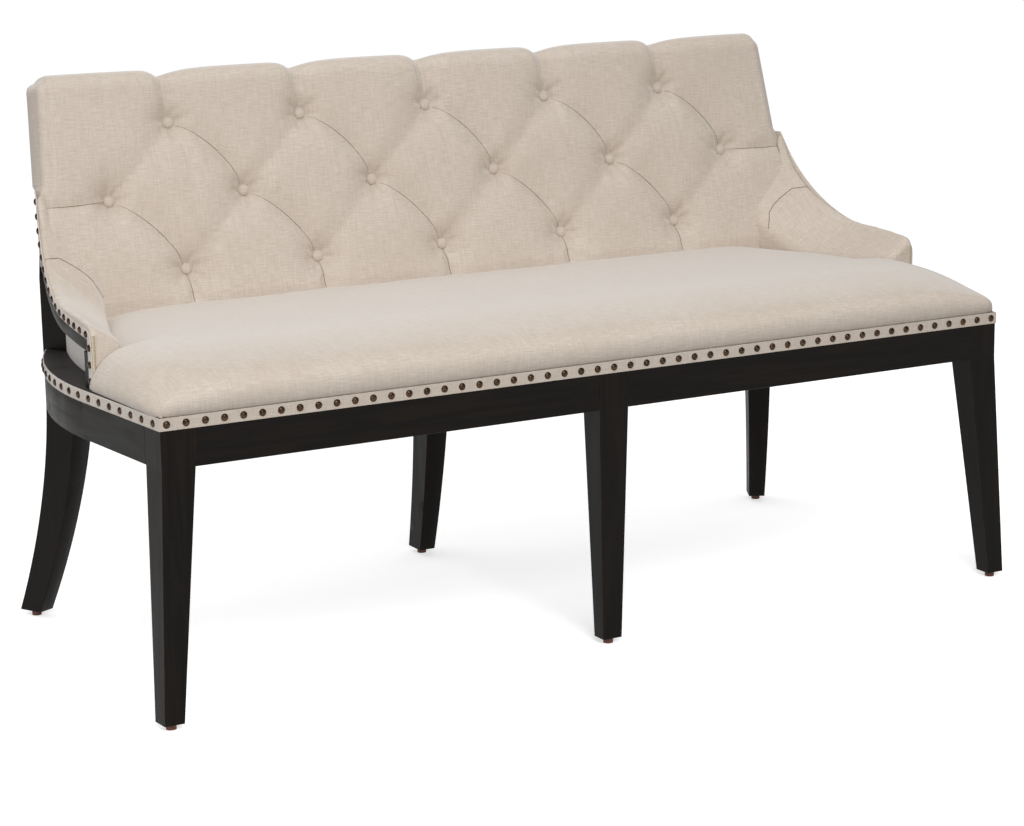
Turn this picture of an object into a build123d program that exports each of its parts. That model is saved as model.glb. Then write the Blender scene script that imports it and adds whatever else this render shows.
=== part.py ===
from build123d import *
from math import cos, radians, sin, sqrt, tan
import os

# Upholstered bench with a tufted back and low sweeping arms.
# X runs along the bench, Y from front to back and Z up. The floor is at Z = 0.
# The origin is under the middle of the bench's overall box.

# Overall sizes
frame_width = 1500
frame_depth = 631
back_height = 888
overrun = 40

# Wooden seat frame
rail_bottom = 384
rail_height = 57
rail_thickness = 25
side_flare = 4.4
flare_length = 260
deck_thickness = 19

# Front legs
leg_width = 52
leg_depth = 50
foot_size = 31
toe_out = 18
toe_forward = 12
middle_foot_width = 34
middle_foot_depth = 28
middle_foot_setback = 11

# Rear corner legs, which go on up as the back posts
rear_turn = 27.6
rear_corner_inset = 84.5
rear_leg_width = 48
rear_leg_depth = 61
rear_foot_width = 30
rear_foot_depth = 45
rear_kick = 84
kick_power = 1.8
kick_shares = (1, 0.8, 0.6, 0.4, 0.2, 0)
post_knee = 575
post_top = 848
post_top_inset = 74
post_top_overhang = 21
post_top_width = 34
post_top_depth = 36
rail_end_setback = 8

# Rear middle leg
middle_rear_width = 46
middle_rear_overhang = 14
middle_rear_kick = 49

# Glides under the legs
glide_height = 9.5
glide_radius = 8
glide_sides = 12

# Corner blocks and their bolts
block_leg = 70
block_height = 40
bolt_radius = 4
bolt_head_radius = 8
bolt_head_height = 5
bolt_head_sides = 6
bolt_into_leg = 24
bolt_clearance = 0.25

# Braces, dust cover
brace_width = 40
brace_height = 45
brace_half_spacing = 370
cover_thickness = 0.8
cover_inset = 9

# Seat cushion
seat_crown = 536
seat_edge_height = 512
seat_rear_height = 521
seat_side_height = 508
seat_roll = 50
seat_side_roll = 42
seat_bulge = 4
seat_bulge_height = 16

# Fabric bands and nails
band_thickness = 1.5
nail_radius = 5.5
nail_height = 3.2
nail_sides = 8
nail_taper = 41
front_nail_count = 51
side_nail_count = 17
arm_nail_count = 19
nail_end_gap = 10

# Back: a raked face through the buttons, with the padding in front of it
back_rake = 12.7
tuft_middle_height = 690
tuft_middle_inset = 35.5
tuft_columns = 6
tuft_end_margin = 100
tuft_rise = 120
back_top_inset = 60
back_inset = 44
back_arm_inset = 26
back_low_inset = 86
arm_relief = 49.4
back_side_foot = 612
back_low_start = 572
back_low_end = 500
pleat_height = 12
pillow_height = 15
groove_half_width = 35
groove_shares = ((0, 0), (0.29, 0.5), (0.63, 0.83), (1.37, 1.17))
dimple_radius = 20
dimple_turns = (0, 45, 90, 135)
back_top_roll = 12
back_frame_depth = 46
button_radius = 9.5
button_height = 7
button_rim = 2
button_sides = 12
button_rim_share = 0.4
button_taper = 42

# Back frame
frame_board = 24
top_rail_inset = 104
top_rail_width = 46
top_rail_drop = 30
stile_width = 60
lower_rail_height = 43
web_width = 50
web_thickness = 1.5
web_count = 4
panel_thickness = 5

# Arms: the plan of the right arm's outer side, then its nail line seen from the side
arm_length = 392
arm_overhang = 8.5
arm_straight = 38
arm_plan_radius = 1066
arm_plan_turn = 17
arm_inner_turn = 14.8
arm_front_thickness = 48
arm_height = 542.7
arm_front_radius = 10
arm_flat = 110
arm_start_angle = 6
arm_sweep_radius = 271.5
arm_middle_angle = 56
arm_bend_radius = 143
arm_end_angle = 60
arm_rise = 37
arm_pad_rise = 17
arm_pad_slope = 35
arm_edge_radius = 7
arm_band_width = 14
arm_rail_height = 20
arm_rail_depth = 20
arm_hollow_depth = 38
arm_post_width = 20
arm_panel_thickness = 4
welt_radius = 2

# Worked-out places
turn_cos = cos(radians(rear_turn))
turn_sin = sin(radians(rear_turn))
rear_reach = frame_depth - (rear_leg_width - rear_foot_width) * turn_sin + rear_kick * turn_cos
overall_depth = toe_forward + rear_reach
front_y = toe_forward - overall_depth / 2
rail_top = rail_bottom + rail_height
deck_top = rail_top + deck_thickness
half_width = frame_width / 2
rear_corner_half_width = half_width - rear_corner_inset
post_top_half_width = half_width - post_top_inset
arm_half_width = half_width + arm_overhang
back_half_width_top = half_width - back_top_inset
back_half_width = half_width - back_inset
back_arm_half_width = half_width - back_arm_inset
back_half_width_low = half_width - back_low_inset
top_rail_half_length = half_width - top_rail_inset
tuft_pitch = 2 * (back_half_width_top - tuft_end_margin) / (tuft_columns - 1)
web_half_spacing = 1.5 * tuft_pitch
flare_run = tan(radians(side_flare))
rear_y = front_y + frame_depth
rake_cos = cos(radians(back_rake))
rake_sin = sin(radians(back_rake))
rake_tan = tan(radians(back_rake))

# Planes
rear_leg_plane = Plane(
    origin=(rear_corner_half_width, rear_y, 0), x_dir=(turn_cos, -turn_sin, 0), z_dir=(0, 0, 1)
)
back_origin_y = rear_y - tuft_middle_inset
back_plane = Plane(
    origin=(0, back_origin_y, tuft_middle_height),
    x_dir=(1, 0, 0),
    z_dir=(0, -rake_cos, rake_sin),
)
bolt_plane = Plane(
    origin=(half_width - leg_width, front_y + leg_depth, rail_top - block_height / 2),
    x_dir=(0, 0, 1),
    z_dir=(-1, 1, 0),
)


def raked_y(height):
    """Y of the raked face through the buttons at a height."""
    return back_origin_y + (height - tuft_middle_height) * rake_tan


def raked_v(height):
    """Distance up the raked face from the middle row of buttons to a height."""
    return (height - tuft_middle_height) / rake_cos


# Plan of the seat frame: straight front, flared sides and curved rear corners
flare_end = (half_width + flare_length * flare_run, front_y + flare_length)
rail_end = (
    rear_corner_half_width + rear_leg_width * turn_cos - rail_end_setback * turn_sin,
    rear_y - rear_leg_width * turn_sin - rail_end_setback * turn_cos,
)
with BuildLine() as side_line:
    flare_line = Line((half_width, front_y), flare_end)
    TangentArc(flare_end, rail_end, tangent=flare_line % 1)

with BuildSketch() as frame_plan:
    with BuildLine():
        add(side_line.line)
        mirror(side_line.line, about=Plane.YZ)
        Line((-half_width, front_y), (half_width, front_y))
        Polyline(
            rail_end, (rear_corner_half_width, rear_y), (-rear_corner_half_width, rear_y),
            (-rail_end[0], rail_end[1]),
        )
    make_face()

with BuildSketch() as inner_plan:
    offset(frame_plan.sketch, amount=-rail_thickness, kind=Kind.INTERSECTION)

with BuildSketch() as band_plan:
    offset(frame_plan.sketch, amount=band_thickness, kind=Kind.INTERSECTION)

# Rear corner leg and back post in one piece
with BuildPart() as rear_leg_right:
    for share in kick_shares:
        drift = rear_kick * share**kick_power
        width = rear_leg_width + (rear_foot_width - rear_leg_width) * share
        depth = rear_leg_depth + (rear_foot_depth - rear_leg_depth) * share
        height = rail_bottom - (rail_bottom - glide_height) * share
        with BuildSketch(rear_leg_plane.offset(height)):
            with Locations((rear_leg_width, drift)):
                Rectangle(width, depth, align=(Align.MAX, Align.MAX))
    loft()
    with BuildSketch(rear_leg_plane.offset(rail_bottom)) as post_section:
        with Locations((rear_leg_width, 0)):
            Rectangle(rear_leg_width, rear_leg_depth, align=(Align.MAX, Align.MAX))
    extrude(amount=post_knee - rail_bottom)
    post_top_corner = rear_leg_plane.to_local_coords(
        Vector(post_top_half_width, rear_y + post_top_overhang, 0)
    )
    with BuildSketch(rear_leg_plane.offset(post_knee)):
        with Locations((rear_leg_width, 0)):
            Rectangle(rear_leg_width, rear_leg_depth, align=(Align.MAX, Align.MAX))
    with BuildSketch(rear_leg_plane.offset(post_top)):
        with Locations((post_top_corner.X, post_top_corner.Y)):
            Rectangle(post_top_width, post_top_depth, align=(Align.MAX, Align.MAX))
    loft(ruled=True)

# Straight prism of the rear corner leg, for what is notched round it
with BuildPart() as post_prism:
    add(post_section.sketch)
    extrude(amount=post_knee - rail_bottom)

# Rear middle leg, which kicks straight back to the rear end of the overall box
with BuildPart() as rear_leg_middle:
    for share in kick_shares:
        drift = middle_rear_kick * share**kick_power
        width = middle_rear_width + (rear_foot_width - middle_rear_width) * share
        depth = rear_leg_depth + (rear_foot_depth - rear_leg_depth) * share
        height = rail_bottom - (rail_bottom - glide_height) * share
        with BuildSketch(Plane.XY.offset(height)):
            with Locations((0, rear_y + middle_rear_overhang + drift)):
                Rectangle(width, depth, align=(Align.CENTER, Align.MAX))
    loft()
    with BuildSketch(Plane.XY.offset(rail_bottom)):
        with Locations((0, rear_y + middle_rear_overhang)):
            Rectangle(middle_rear_width, rear_leg_depth, align=(Align.CENTER, Align.MAX))
    extrude(amount=rail_height)

# Front corner leg: square, tapered, with a toe that splays outwards
with BuildPart() as front_leg_right:
    for height, size, depth, out, forward in (
        (glide_height, foot_size, foot_size, toe_out, toe_forward),
        (rail_bottom, leg_width, leg_depth, 0, 0),
    ):
        with BuildSketch(Plane.XY.offset(height)):
            with Locations((half_width + out, front_y - forward)):
                Polygon((0, 0), (depth * flare_run, depth), (-size, depth), (-size, 0), align=None)
    loft(ruled=True)
    with BuildSketch(Plane.XY.offset(rail_bottom)):
        with Locations((half_width, front_y)):
            Polygon(
                (0, 0), (leg_depth * flare_run, leg_depth), (-leg_width, leg_depth), (-leg_width, 0),
                align=None,
            )
    extrude(amount=rail_height)
    with BuildSketch(bolt_plane):
        Circle(bolt_radius)
    extrude(amount=-bolt_into_leg, mode=Mode.SUBTRACT)

# Front middle leg
with BuildPart() as front_leg_middle:
    for height, width, depth, back in (
        (glide_height, middle_foot_width, middle_foot_depth, middle_foot_setback),
        (rail_bottom, leg_width, leg_depth, 0),
    ):
        with BuildSketch(Plane.XY.offset(height)):
            with Locations((0, front_y + back)):
                Rectangle(width, depth, align=(Align.CENTER, Align.MIN))
    loft(ruled=True)
    with BuildSketch(Plane.XY.offset(rail_bottom)):
        with Locations((0, front_y)):
            Rectangle(leg_width, leg_depth, align=(Align.CENTER, Align.MIN))
    extrude(amount=rail_height)

# Front rail, in two lengths between the legs
with BuildPart() as front_rail_right:
    with BuildSketch(Plane.XY.offset(rail_bottom)):
        with Locations((leg_width / 2, front_y)):
            Rectangle(half_width - 1.5 * leg_width, rail_thickness, align=(Align.MIN, Align.MIN))
    extrude(amount=rail_height)

# Side rail, curved round the rear corner into the rear leg
with BuildPart() as side_rail_right:
    with BuildSketch(Plane.XY.offset(rail_bottom)):
        add(frame_plan.sketch)
        add(inner_plan.sketch, mode=Mode.SUBTRACT)
        with Locations((rear_corner_half_width, front_y + leg_depth)):
            Rectangle(half_width, frame_depth, align=(Align.MIN, Align.MIN), mode=Mode.INTERSECT)
    extrude(amount=rail_height)
    add(post_prism.part, mode=Mode.SUBTRACT)

# Rear rail, in two lengths between the rear legs
with BuildPart() as rear_rail_right:
    with BuildSketch(Plane.XY.offset(rail_bottom)):
        with Locations((middle_rear_width / 2, rear_y)):
            Rectangle(
                rear_corner_half_width - middle_rear_width / 2, rail_thickness, align=(Align.MIN, Align.MAX)
            )
    extrude(amount=rail_height)
    add(post_prism.part, mode=Mode.SUBTRACT)

# Braces from the front rail or leg to the rear rail or leg
with BuildPart() as seat_brace_right:
    brace_front = front_y + rail_thickness
    with BuildSketch(Plane.XY.offset(rail_top)):
        with Locations((brace_half_spacing, brace_front)):
            Rectangle(brace_width, frame_depth - 2 * rail_thickness, align=(Align.CENTER, Align.MIN))
    extrude(amount=-brace_height)

with BuildPart() as seat_brace_middle:
    brace_front = front_y + leg_depth
    brace_length = frame_depth + middle_rear_overhang - rear_leg_depth - leg_depth
    with BuildSketch(Plane.XY.offset(rail_top)):
        with Locations((0, brace_front)):
            Rectangle(brace_width, brace_length, align=(Align.CENTER, Align.MIN))
    extrude(amount=-brace_height)

# Seat board, with its rear corners left bare as ledges
with BuildPart() as seat_deck:
    with BuildSketch(Plane.XY.offset(rail_top)):
        add(frame_plan.sketch)
    extrude(amount=deck_thickness)
    add(post_prism.part, mode=Mode.SUBTRACT)
    mirror(post_prism.part, about=Plane.YZ, mode=Mode.SUBTRACT)

# Corner block across each front corner, and its bolt into the leg
with BuildPart() as corner_block_right:
    with BuildSketch(Plane.XY.offset(rail_top)):
        block_run = leg_width + block_leg
        with BuildLine():
            Polyline(
                (half_width - block_run, front_y + rail_thickness),
                (half_width, front_y + rail_thickness + block_run),
                (half_width, front_y + rail_thickness),
                close=True,
            )
        make_face()
        add(inner_plan.sketch, mode=Mode.INTERSECT)
    extrude(amount=-block_height)
    add(front_leg_right.part, mode=Mode.SUBTRACT)
    with BuildSketch(bolt_plane):
        Circle(bolt_radius + bolt_clearance)
    extrude(amount=block_run, both=True, mode=Mode.SUBTRACT)

bolt_reach = (block_leg - leg_depth + rail_thickness) / sqrt(2)
with BuildPart() as corner_bolt_right:
    with BuildSketch(bolt_plane.offset(-bolt_into_leg)):
        Circle(bolt_radius)
    extrude(amount=bolt_into_leg + bolt_reach)
    with BuildSketch(bolt_plane.offset(bolt_reach)):
        RegularPolygon(bolt_head_radius, bolt_head_sides)
    extrude(amount=bolt_head_height)

# Dust cover under the frame, notched round the legs
with BuildPart() as dust_cover:
    with BuildSketch(Plane.XY.offset(rail_bottom)):
        offset(frame_plan.sketch, amount=-cover_inset, kind=Kind.INTERSECTION)
    extrude(amount=-cover_thickness)
    for leg in (rear_leg_right, front_leg_right):
        add(leg.part, mode=Mode.SUBTRACT)
        mirror(leg.part, about=Plane.YZ, mode=Mode.SUBTRACT)
    for leg in (rear_leg_middle, front_leg_middle):
        add(leg.part, mode=Mode.SUBTRACT)

# Glide: a low disc
with BuildPart() as glide:
    with BuildSketch():
        RegularPolygon(glide_radius, glide_sides)
    extrude(amount=glide_height)

front_foot = (half_width + toe_out - foot_size / 2, front_y - toe_forward + foot_size / 2)
front_middle_foot = (0, front_y + middle_foot_setback + middle_foot_depth / 2)
rear_foot_vector = rear_leg_plane.from_local_coords(
    Vector(rear_leg_width - rear_foot_width / 2, rear_kick - rear_foot_depth / 2, 0)
)
rear_foot = (rear_foot_vector.X, rear_foot_vector.Y)
rear_middle_foot = (0, rear_y + middle_rear_overhang + middle_rear_kick - rear_foot_depth / 2)

# Nail: a low head with eight facets
with BuildPart() as nail:
    with BuildSketch():
        RegularPolygon(nail_radius, nail_sides)
    extrude(amount=nail_height, taper=nail_taper)

# Fabric bands round the deck's edge
with BuildPart() as front_band:
    with BuildSketch(Plane.XY.offset(rail_top)):
        with Locations((0, front_y)):
            Rectangle(
                frame_width + 2 * band_thickness, band_thickness, align=(Align.CENTER, Align.MAX)
            )
    extrude(amount=deck_thickness)

with BuildPart() as side_band_right:
    with BuildSketch(Plane.XY.offset(rail_top)):
        add(band_plan.sketch)
        add(frame_plan.sketch, mode=Mode.SUBTRACT)
        with Locations((rear_corner_half_width, front_y)):
            Rectangle(
                half_width, rail_end[1] - front_y, align=(Align.MIN, Align.MIN), mode=Mode.INTERSECT
            )
    extrude(amount=deck_thickness)

nail_level = rail_top + deck_thickness / 2
front_nail_pitch = (frame_width - 2 * nail_end_gap) / (front_nail_count - 1)
with BuildPart() as front_nails:
    front_nail_plane = Plane(
        origin=(0, front_y - band_thickness, nail_level), x_dir=(1, 0, 0), z_dir=(0, -1, 0)
    )
    with Locations(front_nail_plane):
        with GridLocations(front_nail_pitch, 0, front_nail_count, 1):
            add(nail.part)

side_path = side_line.wire()
with BuildPart() as side_nails_right:
    for index in range(side_nail_count):
        share = (index + 0.5) / side_nail_count
        spot = side_path @ share
        along = side_path % share
        with Locations(
            Plane(
                origin=(spot.X + along.Y * band_thickness, spot.Y - along.X * band_thickness, nail_level),
                x_dir=along,
                z_dir=(along.Y, -along.X, 0),
            )
        ):
            add(nail.part)


# Plan of the right arm: outer side, and shells inside it at any depth
arm_front_y = rear_y - arm_length
arm_rear_y = rear_y - rear_leg_width * turn_sin
with BuildLine() as arm_plan_line:
    arm_start = Line((arm_half_width, arm_front_y - overrun), (arm_half_width, arm_front_y + arm_straight))
    arm_bow = JernArc(arm_start @ 1, arm_start % 1, arm_plan_radius, arm_plan_turn)
    arm_tail = PolarLine(arm_bow @ 1, frame_depth, direction=arm_bow % 1)

with BuildSketch() as arm_side:
    with BuildLine():
        add(arm_plan_line.line)
        Polyline(arm_tail @ 1, (0, (arm_tail @ 1).Y), (0, arm_front_y - overrun), arm_start @ 0)
    make_face()


def arm_shell(outer, inner):
    """Plan of the layer between two depths inside the arm's outer side."""
    with BuildSketch() as shell:
        offset(arm_side.sketch, amount=-outer, kind=Kind.INTERSECTION)
        offset(arm_side.sketch, amount=-inner, kind=Kind.INTERSECTION, mode=Mode.SUBTRACT)
        with Locations((arm_half_width, arm_front_y)):
            Rectangle(
                arm_half_width, arm_rear_y - arm_front_y, align=(Align.CENTER, Align.MIN), mode=Mode.INTERSECT
            )
    return shell.sketch


def arm_points(drop, rise):
    """Ends of the arm's flat, sweep, bend and rise, lowered square to the nail line by a drop."""
    first, middle, last = (radians(a) for a in (arm_start_angle, arm_middle_angle, arm_end_angle))
    spots = [(arm_front_y + arm_band_width / 2 + arm_front_radius, arm_height)]
    spots.append((spots[0][0] + arm_flat * cos(first), arm_height + arm_flat * sin(first)))
    for radius, start, end in ((arm_sweep_radius, first, middle), (arm_bend_radius, middle, last)):
        y, z = spots[-1]
        spots.append((y + radius * (sin(end) - sin(start)), z + radius * (cos(start) - cos(end))))
    y, z = spots[-1]
    spots.append((y + rise * cos(last), z + rise * sin(last)))
    headings = (first, first, middle, last, last)
    return [(y + drop * sin(a), z - drop * cos(a)) for (y, z), a in zip(spots, headings)]


def arm_curve(drop, front, rise=arm_rise):
    """Draws the arm's side line from the deck up round its front corner, and gives its two ends."""
    spots = arm_points(drop, rise)
    flat = Line(spots[0], spots[1])
    sweep_arc = TangentArc(spots[1], spots[2], tangent=flat % 1)
    TangentArc(spots[2], spots[3], tangent=sweep_arc % 1)
    if rise:
        Line(spots[3], spots[4])
    radius = spots[0][0] - front
    if radius > nail_end_gap / 2:
        TangentArc(spots[0], (front, spots[0][1] - radius), tangent=(flat % 0) * -1)
        Line((front, spots[0][1] - radius), (front, deck_top))
    else:
        Polyline(spots[0], (front, spots[0][1]), (front, deck_top))
    return (front, deck_top), spots[-1]


def arm_region(drop, front, rise=arm_rise):
    """Side view of what lies under and behind the lowered arm line, down to the deck."""
    with BuildSketch() as region:
        with BuildLine():
            low, high = arm_curve(drop, front, rise)
            Polyline(high, (arm_rear_y, high[1]), (arm_rear_y, deck_top), low)
        make_face()
    return region.sketch


def arm_layer(side, outer, inner):
    """Solid between two depths inside the arm's outer side, cut to a side view."""
    with BuildPart() as layer:
        with BuildSketch(Plane.YZ):
            add(side)
        extrude(amount=arm_half_width + overrun)
        with BuildSketch():
            add(arm_shell(outer, inner))
        extrude(amount=back_height, mode=Mode.INTERSECT)
    return layer.part


band_front = arm_front_y + arm_band_width
post_rear = band_front + arm_post_width
rail_drop = arm_band_width / 2 + arm_rail_height
rail_front_top = arm_points(rail_drop, 0)[0][1]
rail_rear_top = arm_points(arm_band_width / 2, 0)[-1][1]
outer_region = arm_region(-arm_band_width / 2, arm_front_y)
under_band = arm_region(arm_band_width / 2, band_front)
under_rail = arm_region(rail_drop, post_rear)

# Arm rail of show wood under the nail band, from the arm post to the back post
with BuildSketch() as rail_side:
    add(under_band)
    add(under_rail, mode=Mode.SUBTRACT)
    with Locations((band_front, rail_front_top)):
        rail_span = rail_rear_top - rail_front_top
        Rectangle(frame_depth, rail_span, align=(Align.MIN, Align.MIN), mode=Mode.INTERSECT)
with BuildPart() as arm_rail_right:
    add(arm_layer(rail_side.sketch, 0, arm_rail_depth))
    add(rear_leg_right.part, mode=Mode.SUBTRACT)

# Short arm post of show wood, at the front of the opening
with BuildSketch() as arm_post_side:
    with Locations((band_front, deck_top)):
        Rectangle(arm_post_width, rail_front_top - deck_top, align=(Align.MIN, Align.MIN))
with BuildPart() as arm_post_right:
    add(arm_layer(arm_post_side.sketch, 0, arm_hollow_depth - arm_panel_thickness))

# Fabric band along the outer edge of the arm, and the nails along it
with BuildSketch() as arm_band_side:
    add(outer_region)
    add(under_band, mode=Mode.SUBTRACT)
with BuildPart() as arm_band_right:
    add(arm_layer(arm_band_side.sketch, -band_thickness, 0))

with BuildLine() as arm_nail_line:
    arm_curve(0, arm_front_y + arm_band_width / 2)


def arm_side_plane(y, height):
    """Plane on the outer face of the arm band, facing outwards."""
    run = y - arm_front_y - arm_straight
    turn = min(max(run / arm_plan_radius, 0), sin(radians(arm_plan_turn)))
    facing = (sqrt(1 - turn**2), turn, 0)
    past = max(run - arm_plan_radius * turn, 0)
    x = arm_half_width - arm_plan_radius * (1 - facing[0]) - past * turn / facing[0]
    origin = (x + facing[0] * band_thickness, y + facing[1] * band_thickness, height)
    return Plane(origin=origin, x_dir=(0, 0, 1), z_dir=facing)


nail_path = arm_nail_line.wire()
with BuildPart() as arm_nails_right:
    for index in range(arm_nail_count):
        spot = nail_path @ ((index + 0.5) / arm_nail_count)
        with Locations(arm_side_plane(spot.X, spot.Y)):
            add(nail.part)

# Welt up the outer edge of the arm's front
with BuildPart() as arm_welt_right:
    with BuildSketch(Plane.XY.offset(deck_top)):
        with Locations((arm_half_width - 2 * welt_radius, arm_front_y)):
            Circle(welt_radius)
    extrude(amount=arm_height - deck_top)

# Back frame: lower rail, centre stile, top rail and the webbing that the buttons are tied to
back_rear_y = rear_y - panel_thickness
frame_setback = back_frame_depth / rake_cos
board_y = frame_board / rake_cos
knee_height = tuft_middle_height + (back_rear_y - frame_setback - back_origin_y) / rake_tan
front_knee_height = knee_height + (board_y - frame_board) / rake_tan
lower_rail_top = deck_top + lower_rail_height
top_v = raked_v(back_height)
with BuildPart() as back_lower_rail:
    with BuildSketch(Plane.XY.offset(deck_top)):
        with Locations((0, back_rear_y)):
            Rectangle(2 * rear_corner_half_width, frame_board, align=(Align.CENTER, Align.MAX))
    extrude(amount=lower_rail_height)
    add(post_prism.part, mode=Mode.SUBTRACT)
    mirror(post_prism.part, about=Plane.YZ, mode=Mode.SUBTRACT)

with BuildPart() as back_top_rail:
    with BuildSketch(back_plane.offset(-back_frame_depth)):
        with Locations((0, top_v - top_rail_drop)):
            Rectangle(2 * top_rail_half_length, top_rail_width, align=(Align.CENTER, Align.MAX))
    extrude(amount=frame_board)
    add(rear_leg_right.part, mode=Mode.SUBTRACT)
    mirror(rear_leg_right.part, about=Plane.YZ, mode=Mode.SUBTRACT)

with BuildPart() as back_stile:
    with BuildSketch(Plane.YZ):
        with BuildLine():
            Polyline(
                (back_rear_y - frame_board, lower_rail_top),
                (back_rear_y, lower_rail_top),
                (back_rear_y, knee_height),
                (raked_y(back_height) + frame_setback, back_height),
                (raked_y(back_height) + frame_setback - board_y, back_height),
                (back_rear_y - frame_board, front_knee_height),
                close=True,
            )
        make_face()
    extrude(amount=stile_width / 2, both=True)
    with BuildSketch(back_plane.offset(-back_frame_depth - overrun)):
        with Locations((0, top_v - top_rail_drop - top_rail_width)):
            Rectangle(2 * stile_width, back_height, align=(Align.CENTER, Align.MIN))
    extrude(amount=back_frame_depth + overrun, mode=Mode.SUBTRACT)

web_rise = (top_v - top_rail_drop) * rake_cos - (back_frame_depth - frame_board) * rake_sin
web_top = tuft_middle_height + web_rise
web_top_y = raked_y(web_top) + frame_setback - board_y
with BuildPart() as back_webbing:
    with BuildSketch(Plane.YZ):
        web_bottom_y = back_rear_y - frame_board
        web_bend = web_top - top_rail_width * rake_cos
        web_bend_y = web_top_y - top_rail_width * rake_sin
        with BuildLine():
            Polyline(
                (web_bottom_y, deck_top), (web_bottom_y, lower_rail_top), (web_bend_y, web_bend),
                (web_top_y, web_top), (web_top_y - web_thickness, web_top),
                (web_bend_y - web_thickness, web_bend), (web_bottom_y - web_thickness, lower_rail_top),
                (web_bottom_y - web_thickness, deck_top),
                close=True,
            )
        make_face()
    extrude(amount=web_half_spacing + web_width / 2, both=True)
    with BuildSketch():
        with GridLocations(2 * web_half_spacing / (web_count - 1), 0, web_count, 1):
            with Locations((0, web_bottom_y)):
                Rectangle(web_width, frame_depth)
    extrude(amount=back_height, mode=Mode.INTERSECT)

# Back cushion: padded body with a groove along each pleat between the buttons, and a dimple at each button
rows = (tuft_rise, 0, -tuft_rise)
columns = (
    [(k - (tuft_columns - 2) / 2) * tuft_pitch for k in range(tuft_columns - 1)],
    [(k - (tuft_columns - 1) / 2) * tuft_pitch for k in range(tuft_columns)],
    [(k - (tuft_columns - 2) / 2) * tuft_pitch for k in range(tuft_columns - 1)],
)
button_spots = [(x, v) for v, row in zip(rows, columns) for x in row]
half_pitch = tuft_pitch / 2
pleats = []
for x in columns[0]:
    for v, v_end in ((rows[0], top_v + overrun), (rows[2], raked_v(back_low_end) - overrun)):
        pleats.append(((x, v), (x - half_pitch, 0)))
        pleats.append(((x, v), (x + half_pitch, 0)))
        pleats.append(((x, v), (x, v_end)))
for x in (columns[1][0], columns[1][-1]):
    pleats.append(((x, 0), (x / abs(x) * (back_half_width + overrun), 0)))

grooves = []
for start, end in pleats:
    near = back_plane.from_local_coords(Vector(start[0], start[1], 0))
    far = back_plane.from_local_coords(Vector(end[0], end[1], 0))
    along = (far - near).normalized()
    right_shares = [(w * groove_half_width, pleat_height + h * pillow_height) for w, h in groove_shares]
    left_shares = [(-w, h) for w, h in reversed(right_shares[1:])]
    mouth = [(right_shares[-1][0], pleat_height + overrun), (left_shares[0][0], pleat_height + overrun)]
    with BuildPart() as groove:
        with BuildSketch(Plane(origin=near, x_dir=back_plane.z_dir.cross(along), z_dir=along)):
            Polygon(*right_shares, *mouth, *left_shares, align=None)
        extrude(amount=(far - near).length)
    grooves.append(groove.part)

# Button: a domed disc with twelve facets
with BuildPart() as button:
    with BuildSketch():
        RegularPolygon(button_radius, button_sides)
    extrude(amount=button_height * button_rim_share)
    with BuildSketch(Plane.XY.offset(button_height * button_rim_share)):
        RegularPolygon(button_radius, button_sides)
    extrude(amount=button_height * (1 - button_rim_share), taper=button_taper)

with BuildPart() as back_buttons:
    with Locations(back_plane):
        with Locations(*button_spots):
            add(button.part)

# Dimple: an eight-sided funnel round a button
dimple_depth = pleat_height + 2 * pillow_height
dimple_low = button_radius + button_rim
dimple_high = dimple_low + dimple_depth * (dimple_radius - button_radius) / pleat_height
with BuildPart() as dimple:
    for angle in dimple_turns:
        turn_x, turn_y = cos(radians(angle)), sin(radians(angle))
        with BuildSketch(Plane(origin=(0, 0, 0), x_dir=(turn_x, turn_y, 0), z_dir=(turn_y, -turn_x, 0))):
            Polygon(
                (-dimple_low, 0), (dimple_low, 0), (dimple_high, dimple_depth), (-dimple_high, dimple_depth),
                align=None,
            )
        extrude(amount=dimple_high, both=True, mode=Mode.INTERSECT if angle else Mode.ADD)

# Wedge outside the turned rear corner of the back, rising along the rake
with BuildPart() as back_corner:
    wedge_y = raked_y(back_low_start) + frame_setback
    with BuildSketch(Plane.XY.offset(back_low_start)):
        with BuildLine():
            Polyline(
                (rear_corner_half_width, wedge_y),
                (rear_corner_half_width + frame_depth * turn_cos, wedge_y - frame_depth * turn_sin),
                (rear_corner_half_width + frame_depth * turn_cos, wedge_y + frame_depth),
                (rear_corner_half_width, wedge_y + frame_depth),
                close=True,
            )
        make_face()
    extrude(amount=back_height, dir=(0, rake_tan, 1))

# Space beside the arm, up to the arm's top
with BuildPart() as beside_arm:
    with BuildSketch():
        with Locations((0, arm_front_y)):
            Rectangle(arm_half_width - arm_relief, frame_depth, align=(Align.MIN, Align.MIN))
        add(arm_side.sketch, mode=Mode.SUBTRACT)
    extrude(amount=arm_points(0, arm_rise)[-1][1])

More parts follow.
